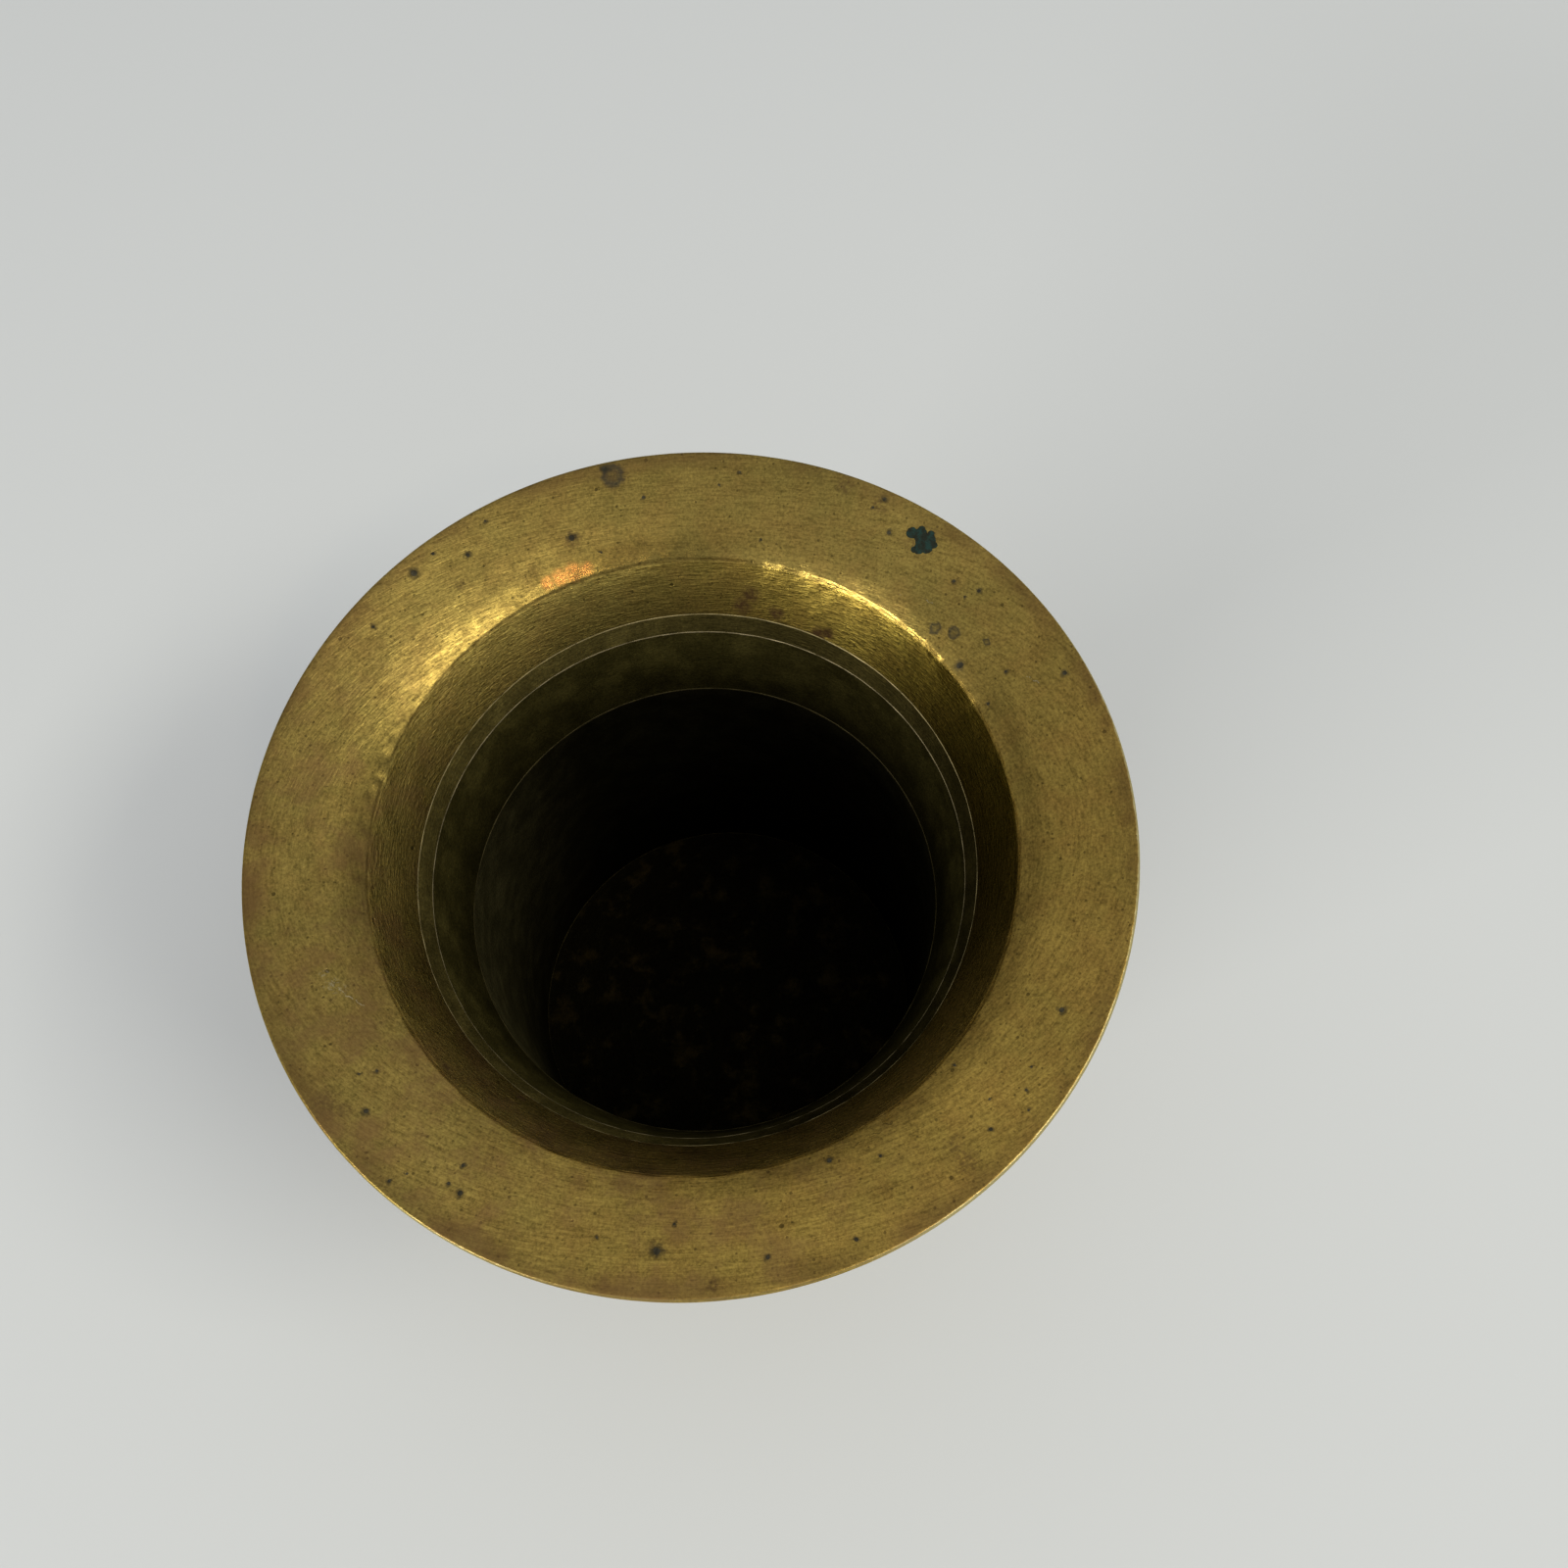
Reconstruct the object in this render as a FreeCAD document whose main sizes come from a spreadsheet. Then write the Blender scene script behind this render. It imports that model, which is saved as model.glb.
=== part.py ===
"""Flared brass pen cup, made the way a brazier makes one: turned and spun brass sections that
socket into each other, held by silver-brazed seams, on a moulded foot with a felt pad.

Frame: +Z up, origin at the centre of the felt's underside, where the cup stands on the desk.
All sizes are millimetres and live in the sheet "Dims"; every sketch and feature reads them there.
"""

import FreeCAD, Part
import math
import os

import Sketcher

OUT_FOLDER = "parts"
FULL_TURN = 360

# alias, value, what it is
DIMENSIONS = [
    ("total_height", 106.0, "desk to the top of the rim"),
    ("rim_radius", 60.0, "outermost edge of the mouth"),
    ("rim_edge_round", 0.6, "half-round on the edge of the lip"),
    ("lip_bend_radius", 50.5, "where the lip stops being a straight cone"),
    ("lip_bend_drop", 2.8, "rim top down to that place"),
    ("lip_bend_curve", 16.0, "curve of the lip between there and the crease"),
    ("crease_radius", 45.0, "sharp crease between lip and throat"),
    ("crease_drop", 5.7, "rim top down to the crease"),
    ("mouth_wall", 1.3, "thickness of the lip and throat"),
    ("under_curve", 5.0, "curve under the crease"),
    ("mouth_seam_radius", 39.9, "inside of the seam under the throat"),
    ("mouth_seam_drop", 13.8, "rim top down to that seam"),
    ("neck_seam_radius", 38.5, "inside of the seam under the collar's rib"),
    ("neck_seam_drop", 16.9, "rim top down to that seam"),
    ("bore_radius", 35.5, "inside of the straight body"),
    ("bore_drop", 30.8, "rim top down to the straight body"),
    ("braze_gap", 0.3, "height of the silver braze in a plain seam"),
    ("body_braze_gap", 0.45, "height of the braze over the straight body"),
    ("braze_proud", 0.12, "how far a braze bead stands out of its seam"),
    ("fit_gap", 0.05, "radial gap of every socket"),
    ("throat_spigot", 42.6, "outside of the throat's lower end"),
    ("throat_socket", 2.0, "depth of the throat's end in the collar"),
    ("neck_spigot", 40.3, "outside of the neck's upper end"),
    ("neck_socket", 2.5, "depth of the neck's end in the collar"),
    ("collar_top", 44.2, "outside of the collar's upper edge"),
    ("collar_foot", 42.1, "outside of the collar's lower edge"),
    ("collar_bead", 47.0, "outermost of the collar's bead"),
    ("collar_bead_curve", 2.1, "round of the collar's bead"),
    ("neck_wall", 1.6, "thickness of the neck"),
    ("foot_spigot", 37.3, "outside of the neck's lower end"),
    ("body_socket", 3.0, "depth of the neck's end in the body"),
    ("body_wall", 1.8, "thickness of the body"),
    ("band_wall", 1.5, "thickness of the band round the body's socket"),
    ("band_slope", 2.2, "height over which that band runs out"),
    ("line_depth", 0.35, "depth of a turned line"),
    ("line_half_width", 0.45, "half the width of a turned line"),
    ("line_spacing", 2.0, "one turned line to the next"),
    ("upper_lines_height", 66.0, "desk to the upper group of lines"),
    ("lower_lines_height", 17.5, "desk to the lower group of lines"),
    ("line_count", 3, "turned lines in each group"),
    ("felt_thick", 1.5, "thickness of the felt pad"),
    ("felt_radius", 44.6, "edge of the felt pad"),
    ("ledge_thick", 2.0, "foot's inner ledge, which carries the base disc"),
    ("ledge_radius", 31.0, "hole in the foot's ledge"),
    ("base_thick", 2.5, "thickness of the base disc"),
    ("foot_radius", 46.0, "outside of the foot"),
    ("foot_band", 2.6, "height of the foot's straight band"),
    ("foot_edge_round", 0.7, "round on the foot's bottom edge"),
    ("foot_cove_radius", 40.4, "top of the foot's cove"),
    ("foot_cove_rise", 4.6, "rise of the cove above the band"),
    ("foot_cove_curve", 5.2, "hollow of the cove"),
    ("foot_top_radius", 39.6, "outside of the foot's top bead"),
    ("foot_top_rise", 2.6, "height of the foot's top bead"),
    ("foot_fillet", 1.3, "braze round the body on top of the foot"),
]

document = FreeCAD.newDocument("FlaredPenCup")


def make_sheet():
    """The driving dimensions, one row each: alias, value, meaning."""
    sheet = document.addObject("Spreadsheet::Sheet", "Dims")
    for row, (alias, value, meaning) in enumerate(DIMENSIONS, start=1):
        sheet.set(f"A{row}", alias)
        sheet.set(f"B{row}", str(value))
        sheet.set(f"C{row}", meaning)
        sheet.setAlias(f"B{row}", alias)
    document.recompute()
    return sheet


dims = make_sheet()

# Heights above the desk, as expressions on the sheet.
RIM_Z = "Dims.total_height"
LIP_BEND_Z = "(Dims.total_height - Dims.lip_bend_drop)"
CREASE_Z = "(Dims.total_height - Dims.crease_drop)"
MOUTH_SEAM_Z = "(Dims.total_height - Dims.mouth_seam_drop)"
NECK_SEAM_Z = "(Dims.total_height - Dims.neck_seam_drop)"
BORE_Z = "(Dims.total_height - Dims.bore_drop)"
LEDGE_Z = "(Dims.felt_thick + Dims.ledge_thick)"
FLOOR_Z = "(Dims.felt_thick + Dims.ledge_thick + Dims.base_thick)"
FOOT_TOP_Z = "(Dims.felt_thick + Dims.foot_band + Dims.foot_cove_rise + Dims.foot_top_rise)"
BODY_RADIUS = "(Dims.bore_radius + Dims.body_wall)"
SOCKET_RADIUS = "(Dims.foot_spigot + Dims.fit_gap)"
BAND_RADIUS = "(Dims.foot_spigot + Dims.fit_gap + Dims.band_wall)"


def number(expression):
    """The value of an expression on the sheet, in millimetres."""
    value = dims.evalExpression(expression)
    return float(getattr(value, "Value", value))


def origin_plane(body, role):
    """The body's own origin plane with that role, such as XZ_Plane."""
    return next(f for f in body.Origin.OriginFeatures if f.Role == role)


def new_body(name, label):
    body = document.addObject("PartDesign::Body", name)
    body.Label = label
    return body


def new_sketch(body, name, role):
    sketch = body.newObject("Sketcher::SketchObject", name)
    sketch.AttachmentSupport = [(origin_plane(body, role), "")]
    sketch.MapMode = "FlatFace"
    return sketch


def arc_between(start, end, radius, hollow):
    """The shorter arc of that radius from start to end. It bulges to the right of the way there, or
    to the left of it if hollow."""
    chord = end - start
    bulge = FreeCAD.Vector(chord.y, -chord.x, 0).normalize()
    if hollow:
        bulge = bulge * -1
    reach = math.sqrt(max(radius**2 - (chord.Length / 2) ** 2, 0.0))
    centre = (start + end) / 2 - bulge * reach
    return Part.Arc(start, centre + bulge * radius, end)


def draw_outline(sketch, corners):
    """A closed outline. A corner is (radius, height), or (radius, height, curve, "round" or "hollow")
    where the edge that leaves it is an arc. Every size is an expression on the sheet."""
    points = [FreeCAD.Vector(number(c[0]), number(c[1]), 0) for c in corners]
    count = len(corners)
    for i, corner in enumerate(corners):
        start, end = points[i], points[(i + 1) % count]
        if len(corner) == 4:
            edge = arc_between(start, end, number(corner[2]), corner[3] == "hollow")
        else:
            edge = Part.LineSegment(start, end)
        sketch.addGeometry(edge, False)
    # Which end of an arc is its first point depends on the way it turns.
    first, last = [], []
    for i, corner in enumerate(corners):
        turned = len(corner) == 4 and (sketch.getPoint(i, 1) - points[i]).Length > 1e-6
        first.append(2 if turned else 1)
        last.append(1 if turned else 2)
    for i, corner in enumerate(corners):
        following = (i + 1) % count
        sketch.addConstraint(
            Sketcher.Constraint("Coincident", i, last[i], following, first[following])
        )
        bind(sketch, "DistanceX", (-1, 1, i, first[i]), corner[0])
        bind(sketch, "DistanceY", (-1, 1, i, first[i]), corner[1])
        if len(corner) == 4:
            bind(sketch, "Radius", (i,), corner[2])


def bind(sketch, kind, where, expression):
    """A size constraint whose value follows the sheet."""
    index = sketch.addConstraint(Sketcher.Constraint(kind, *where, number(expression)))
    sketch.setExpression(f"Constraints[{index}]", expression)


def turned_body(name, label, corners):
    """A piece turned on the lathe: its half section, once round Z."""
    body = new_body(name, label)
    sketch = new_sketch(body, name + "Section", "XZ_Plane")
    draw_outline(sketch, corners)
    document.recompute()
    turning = body.newObject("PartDesign::Revolution", name + "Turned")
    turning.Profile = sketch
    turning.ReferenceAxis = (sketch, ["V_Axis"])
    turning.Angle = FULL_TURN
    document.recompute()
    return body


def make_mouth_flare():
    """Lip, crease and throat, spun from one sheet. The throat's end is turned to fit the collar."""
    return turned_body(
        "MouthFlare",
        "mouth_flare",
        [
            ("Dims.mouth_seam_radius", MOUTH_SEAM_Z),
            ("Dims.throat_spigot", MOUTH_SEAM_Z),
            ("Dims.throat_spigot", MOUTH_SEAM_Z + " + Dims.throat_socket"),
            (
                "Dims.crease_radius + 0.35 * Dims.mouth_wall",
                CREASE_Z + " - 1.75 * Dims.mouth_wall",
                "Dims.under_curve",
                "hollow",
            ),
            (
                "Dims.crease_radius + 2.6 * Dims.mouth_wall",
                CREASE_Z + " + 0.02 * Dims.mouth_wall",
            ),
            ("Dims.lip_bend_radius + 0.3 * Dims.mouth_wall", LIP_BEND_Z + " - Dims.mouth_wall"),
            (
                "Dims.rim_radius - Dims.rim_edge_round",
                RIM_Z + " - 2 * Dims.rim_edge_round",
                "Dims.rim_edge_round",
                "round",
            ),
            (
                "Dims.rim_radius",
                RIM_Z + " - Dims.rim_edge_round",
                "Dims.rim_edge_round",
                "round",
            ),
            ("Dims.rim_radius - Dims.rim_edge_round", RIM_Z),
            (
                "Dims.lip_bend_radius",
                LIP_BEND_Z,
                "Dims.lip_bend_curve",
                "round",
            ),
            ("Dims.crease_radius", CREASE_Z),
        ],
    )


def make_neck_collar():
    """Turned ring that couples mouth and neck. Its inner rib parts the two sockets, and its bead
    is the ring seen round the outside."""
    upper_z = MOUTH_SEAM_Z + " + Dims.throat_socket"
    lower_z = NECK_SEAM_Z + " - Dims.neck_socket"
    middle_z = f"(({upper_z} + {lower_z}) / 2)"
    return turned_body(
        "NeckCollar",
        "neck_collar",
        [
            ("Dims.neck_seam_radius", NECK_SEAM_Z),
            ("Dims.neck_spigot + Dims.fit_gap", NECK_SEAM_Z),
            ("Dims.neck_spigot + Dims.fit_gap", lower_z),
            ("Dims.collar_foot", lower_z),
            (
                "Dims.collar_bead - Dims.collar_bead_curve",
                middle_z + " - Dims.collar_bead_curve",
                "Dims.collar_bead_curve",
                "round",
            ),
            ("Dims.collar_bead", middle_z, "Dims.collar_bead_curve", "round"),
            (
                "Dims.collar_bead - Dims.collar_bead_curve",
                middle_z + " + Dims.collar_bead_curve",
            ),
            ("Dims.collar_top", upper_z),
            ("Dims.throat_spigot + Dims.fit_gap", upper_z),
            ("Dims.throat_spigot + Dims.fit_gap", MOUTH_SEAM_Z + " - Dims.braze_gap"),
            ("Dims.mouth_seam_radius", MOUTH_SEAM_Z + " - Dims.braze_gap"),
        ],
    )


def make_neck_cone():
    """Tapering neck between the collar and the straight body, turned to a spigot at each end."""
    top_z = NECK_SEAM_Z + " - Dims.braze_gap"
    return turned_body(
        "NeckCone",
        "neck_cone",
        [
            ("Dims.bore_radius", BORE_Z),
            ("Dims.foot_spigot", BORE_Z),
            ("Dims.foot_spigot", BORE_Z + " + Dims.body_socket + 0.4"),
            ("Dims.neck_spigot - 0.45", top_z + " - Dims.neck_socket - 0.5"),
            ("Dims.neck_spigot", top_z + " - Dims.neck_socket + 0.2"),
            ("Dims.neck_spigot", top_z),
            ("Dims.neck_seam_radius", top_z),
        ],
    )


def turned_lines(body, name, height_expression):
    """A group of V lines cut round the body: one groove, repeated up the axis."""
    sketch = new_sketch(body, name + "Section", "XZ_Plane")
    draw_outline(
        sketch,
        [
            (BODY_RADIUS + " - Dims.line_depth", height_expression),
            (BODY_RADIUS + " + 0.1", height_expression + " - Dims.line_half_width"),
            (BODY_RADIUS + " + 0.1", height_expression + " + Dims.line_half_width"),
        ],
    )
    document.recompute()
    groove = body.newObject("PartDesign::Groove", name)
    groove.Profile = sketch
    groove.ReferenceAxis = (sketch, ["V_Axis"])
    groove.Angle = FULL_TURN
    document.recompute()
    pattern = body.newObject("PartDesign::LinearPattern", name + "Group")
    pattern.Originals = [groove]
    pattern.Direction = (origin_axis(body, "Z_Axis"), [""])
    pattern.setExpression("Length", "Dims.line_spacing * (Dims.line_count - 1)")
    pattern.setExpression("Occurrences", "Dims.line_count")
    body.Tip = pattern
    document.recompute()


def origin_axis(body, role):
    return next(f for f in body.Origin.OriginFeatures if f.Role == role)


def make_body_tube():
    """Straight drawn tube, opened at the top into a socket for the neck, with turned lines."""
    socket_z = BORE_Z + " + Dims.body_socket"
    shoulder_z = BORE_Z + " - Dims.body_braze_gap"
    body = turned_body(
        "BodyTube",
        "body_tube",
        [
            ("Dims.bore_radius", FLOOR_Z + " + Dims.braze_gap"),
            (BODY_RADIUS, FLOOR_Z + " + Dims.braze_gap"),
            (BODY_RADIUS, shoulder_z + " - Dims.band_slope - 1"),
            (BAND_RADIUS, shoulder_z + " - 1"),
            (BAND_RADIUS, socket_z),
            (SOCKET_RADIUS, socket_z),
            (SOCKET_RADIUS, shoulder_z),
            ("Dims.bore_radius", shoulder_z),
        ],
    )
    plain = body.Shape.Volume
    turned_lines(body, "UpperLines", "Dims.upper_lines_height")
    turned_lines(body, "LowerLines", "Dims.lower_lines_height")
    if body.Shape.Volume >= plain:
        raise SystemExit("the turned lines cut nothing")
    return body


def make_base_disc():
    """Sawn and turned disc that closes the body. It lies on the foot's ledge, and the tube's end is
    brazed to its rim."""
    body = new_body("BaseDisc", "base_disc")
    sketch = new_sketch(body, "BaseOutline", "XY_Plane")
    circle = Part.Circle(FreeCAD.Vector(), FreeCAD.Vector(0, 0, 1), number(BODY_RADIUS))
    sketch.addGeometry(circle, False)
    sketch.addConstraint(Sketcher.Constraint("Coincident", 0, 3, -1, 1))
    bind(sketch, "Radius", (0,), BODY_RADIUS)
    sketch.setExpression("AttachmentOffset.Base.z", LEDGE_Z)
    document.recompute()
    pad = body.newObject("PartDesign::Pad", "BasePad")
    pad.Profile = sketch
    pad.setExpression("Length", "Dims.base_thick")
    document.recompute()
    return body


def make_foot_ring():
    """Turned foot: a straight band, a cove and a small bead, with a ledge inside."""
    band_z = "(Dims.felt_thick + Dims.foot_band)"
    cove_z = "(Dims.felt_thick + Dims.foot_band + Dims.foot_cove_rise)"
    inside = BODY_RADIUS + " + Dims.fit_gap"
    return turned_body(
        "FootRing",
        "foot_ring",
        [
            ("Dims.ledge_radius", "Dims.felt_thick"),
            (
                "Dims.foot_radius - Dims.foot_edge_round",
                "Dims.felt_thick",
                "Dims.foot_edge_round",
                "round",
            ),
            ("Dims.foot_radius", "Dims.felt_thick + Dims.foot_edge_round"),
            ("Dims.foot_radius", band_z),
            (
                "Dims.foot_radius - 0.9",
                band_z + " + 0.5",
                "Dims.foot_cove_curve",
                "hollow",
            ),
            ("Dims.foot_cove_radius - 0.9", cove_z),
            (
                "Dims.foot_top_radius",
                cove_z + " + 0.3",
                "0.62 * Dims.foot_top_rise",
                "round",
            ),
            ("Dims.foot_top_radius - 0.3", FOOT_TOP_Z),
            (inside, FOOT_TOP_Z),
            (inside, LEDGE_Z),
            ("Dims.ledge_radius", LEDGE_Z),
        ],
    )


def make_base_felt():
    """Felt glued over the whole underside."""
    felt = document.addObject("Part::Cylinder", "BaseFelt")
    felt.Label = "base_felt"
    felt.setExpression("Radius", "Dims.felt_radius")
    felt.setExpression("Height", "Dims.felt_thick")
    return felt


def make_braze_seams():
    """The silver braze, one ring for each seam."""
    mouth_z = MOUTH_SEAM_Z + " - Dims.braze_gap"
    neck_z = NECK_SEAM_Z + " - Dims.braze_gap"
    body_z = BORE_Z + " - Dims.body_braze_gap"
    turned_body(
        "BrazeMouth",
        "braze_mouth",
        butt_seam("Dims.mouth_seam_radius", "Dims.throat_spigot", mouth_z, MOUTH_SEAM_Z),
    )
    turned_body(
        "BrazeNeck",
        "braze_neck",
        butt_seam("Dims.neck_seam_radius", "Dims.neck_spigot", neck_z, NECK_SEAM_Z),
    )
    turned_body(
        "BrazeBody",
        "braze_body",
        [
            ("Dims.bore_radius", body_z),
            ("Dims.foot_spigot", body_z),
            ("Dims.foot_spigot", BORE_Z),
            ("Dims.bore_radius", BORE_Z),
        ],
    )
    turned_body(
        "BrazeFloor",
        "braze_floor",
        [
            ("Dims.bore_radius", FLOOR_Z),
            (BODY_RADIUS, FLOOR_Z),
            (BODY_RADIUS, FLOOR_Z + " + Dims.braze_gap"),
            ("Dims.bore_radius", FLOOR_Z + " + Dims.braze_gap"),
        ],
    )
    turned_body(
        "BrazeFoot",
        "braze_foot",
        [
            (BODY_RADIUS, FOOT_TOP_Z),
            (BODY_RADIUS + " + Dims.foot_fillet", FOOT_TOP_Z),
            (BODY_RADIUS, FOOT_TOP_Z + " + Dims.foot_fillet"),
        ],
    )


def butt_seam(inner, outer, low, high):
    """Section of the braze between two butted ends, with a small bead on the inside."""
    return [
        (inner, low),
        (outer, low),
        (outer, high),
        (inner, high),
        (inner + " - Dims.braze_proud", f"({low} + {high}) / 2"),
    ]


def sub_parts():
    """The objects that become files: every body, and the primitives outside a body."""
    return [
        o
        for o in document.Objects
        if o.TypeId in ("PartDesign::Body", "Part::Cylinder")
    ]


def check_and_write():
    document.recompute()
    for o in document.Objects:
        if "Invalid" in o.State or "Error" in o.State:
            raise SystemExit(f"{o.Name} failed: {o.State}")
    for o in sub_parts():
        if o.Shape.isNull() or not o.Shape.isValid() or not o.Shape.Solids:
            raise SystemExit(f"{o.Label} isn't a valid solid")
    os.makedirs(OUT_FOLDER, exist_ok=True)
    for o in sub_parts():
        o.Shape.exportStep(os.path.join(OUT_FOLDER, o.Label + ".step"))
        print(f"{o.Label}: {o.Shape.Volume:.0f} mm3, z {o.Shape.BoundBox.ZMin:.2f} to {o.Shape.BoundBox.ZMax:.2f}")


make_mouth_flare()
make_neck_collar()
make_neck_cone()
make_body_tube()
make_base_disc()
make_foot_ring()
make_base_felt()
make_braze_seams()
check_and_write()
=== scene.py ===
# %% [markdown]
# # A brass pen cup with a flared mouth
# The real cup is a small piece of turned brasswork: a wide lip that bends at a sharp crease into a
# stepped throat, three thin rings of silver braze where the sections meet, and a straight dark well.
# It has been handled for years, so the brass is olive and brown where nobody rubs it and bright on
# the edges. A measured CAD model already fixes every size. This script loads it, lays finer surfaces
# over the same sizes, and gives them the finish of old brass.

# %% Load the measured model
import math
from collections import namedtuple

import bpy
from mathutils import Matrix, Vector


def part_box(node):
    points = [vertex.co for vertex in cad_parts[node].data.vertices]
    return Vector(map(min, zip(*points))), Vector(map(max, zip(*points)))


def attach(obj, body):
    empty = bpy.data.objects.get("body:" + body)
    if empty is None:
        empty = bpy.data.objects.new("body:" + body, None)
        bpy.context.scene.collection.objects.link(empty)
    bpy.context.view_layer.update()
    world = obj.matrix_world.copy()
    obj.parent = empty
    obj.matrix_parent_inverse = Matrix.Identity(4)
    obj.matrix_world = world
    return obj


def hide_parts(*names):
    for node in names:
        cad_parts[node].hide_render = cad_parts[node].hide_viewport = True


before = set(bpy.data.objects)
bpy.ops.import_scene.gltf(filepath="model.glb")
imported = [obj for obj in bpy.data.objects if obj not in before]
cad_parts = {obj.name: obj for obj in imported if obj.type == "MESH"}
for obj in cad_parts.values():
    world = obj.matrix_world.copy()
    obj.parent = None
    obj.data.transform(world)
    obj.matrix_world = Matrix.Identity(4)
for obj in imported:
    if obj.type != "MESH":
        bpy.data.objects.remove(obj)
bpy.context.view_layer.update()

print("CAD nodes:", sorted(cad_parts))

# %% [markdown]
# ## Sizes
# Blender works in metres, and a brazier works in millimetres, so one constant turns one into the
# other. The heights that matter are read from the CAD nodes and not typed again, so that a section
# still meets its neighbour if the solids change.

# %% Sizes taken from the solids
MM = 0.001


def node_size(node):
    """Outer radius, lowest and highest point of a CAD node, in millimetres."""
    low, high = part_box(node)
    return high[0] / MM, low[2] / MM, high[2] / MM


RIM_RADIUS, THROAT_END, RIM_HEIGHT = node_size("mouth_flare")
COLLAR_RADIUS, COLLAR_LOW, COLLAR_HIGH = node_size("neck_collar")
_, NECK_LOW, NECK_HIGH = node_size("neck_cone")
BAND_RADIUS, TUBE_LOW, TUBE_HIGH = node_size("body_tube")
TUBE_RADIUS, DISC_LOW, FLOOR_HEIGHT = node_size("base_disc")
FOOT_RADIUS, FOOT_LOW, _ = node_size("foot_ring")
FELT_RADIUS, FELT_LOW, FELT_HIGH = node_size("base_felt")
THROAT_SPIGOT = node_size("braze_mouth")[0]
NECK_SPIGOT = node_size("braze_neck")[0]
FOOT_SPIGOT = node_size("braze_body")[0]

LIP_BEND = (50.5, RIM_HEIGHT - 2.8)
CREASE = (45.0, RIM_HEIGHT - 5.7)
MOUTH_SEAM_RADIUS = 39.9
NECK_SEAM_RADIUS = 38.5
WELL_RADIUS = 35.5
SOCKET_GAP = 0.05
print(f"rim {RIM_RADIUS:.1f} mm, {RIM_HEIGHT:.1f} mm up; floor {FLOOR_HEIGHT:.1f} mm up")

# %% [markdown]
# ## Building node trees from a script
# Node trees are drawn with the mouse in Blender's window. In a script each node is one call, so a
# short helper keeps the trees readable: it makes a node, sets it, and joins or fills its inputs.

# %% Helpers for node trees
def add_node(tree, kind, inputs=None, **settings):
    """A new node. inputs maps a socket's name or number to another node's output or to a value."""
    node = tree.nodes.new(kind)
    for name, value in settings.items():
        setattr(node, name, value)
    fill_inputs(tree, node, inputs or {})
    return node


def fill_inputs(tree, node, inputs):
    """Joins or fills a node's inputs."""
    for key, value in inputs.items():
        if isinstance(value, bpy.types.NodeSocket):
            tree.links.new(value, node.inputs[key])
        else:
            node.inputs[key].default_value = value


def calc(tree, operation, a, b=0.0, c=0.0, clamp=False):
    """One step of arithmetic on numbers."""
    inputs = {0: a, 1: b, 2: c}
    return add_node(tree, "ShaderNodeMath", inputs, operation=operation, use_clamp=clamp).outputs[0]


def times(tree, a, b):
    """a multiplied by b."""
    return calc(tree, "MULTIPLY", a, b)


def plus(tree, base, amount, share=1.0):
    """base with that share of amount added to it."""
    return calc(tree, "MULTIPLY_ADD", amount, share, base)


def vector_calc(tree, operation, a, b=(0, 0, 0), scale=1.0):
    """One step of arithmetic on vectors."""
    inputs = {0: a, "Scale": scale} if operation == "SCALE" else {0: a, 1: b}
    if operation in ("LENGTH", "NORMALIZE"):
        inputs = {0: a}
    node = add_node(tree, "ShaderNodeVectorMath", inputs, operation=operation)
    return node.outputs["Value" if operation in ("LENGTH", "DISTANCE", "DOT_PRODUCT") else "Vector"]


def combine(tree, x=0.0, y=0.0, z=0.0):
    """A vector of those three numbers."""
    return add_node(tree, "ShaderNodeCombineXYZ", {"X": x, "Y": y, "Z": z}).outputs[0]


def spread(tree, value, low, high, out_low=0.0, out_high=1.0, smooth=True):
    """value from low..high to out_low..out_high, and no further."""
    inputs = {"Value": value, "From Min": low, "From Max": high, "To Min": out_low, "To Max": out_high}
    kind = "SMOOTHSTEP" if smooth else "LINEAR"
    node = add_node(tree, "ShaderNodeMapRange", inputs, interpolation_type=kind, clamp=True)
    return node.outputs["Result"]


def grain(tree, where, scale, detail=2.0, roughness=0.5, w=None):
    """Smooth random values between 0 and 1 that change over about 1/scale. w adds a fourth axis."""
    inputs = {"Vector": where, "Scale": scale, "Detail": detail, "Roughness": roughness}
    if w is not None:
        inputs["W"] = w
    kind = "3D" if w is None else "4D"
    return add_node(tree, "ShaderNodeTexNoise", inputs, noise_dimensions=kind).outputs[0]


# %% [markdown]
# ## A half section for the lathe
# A turner thinks in half sections: the outline of one side of the piece, from which the whole is
# swept round the axis. Each corner here has a radius, a height and a small bend that breaks the sharp
# edge, because even a crisp brass edge is a little round and that roundness catches the light. Two
# more numbers go with it: grime, how much old polish and dirt sits there, and give, how far the hand
# work may wander there. Give is 0 where one section fits another. A sharp corner without a bend gets a
# point on each side, very near it, so that smooth shading turns there and not across the whole face.

# %% Half sections
HOLD = 0.05
SHARP = math.radians(40)
ARC_STEP = 14.0


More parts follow.
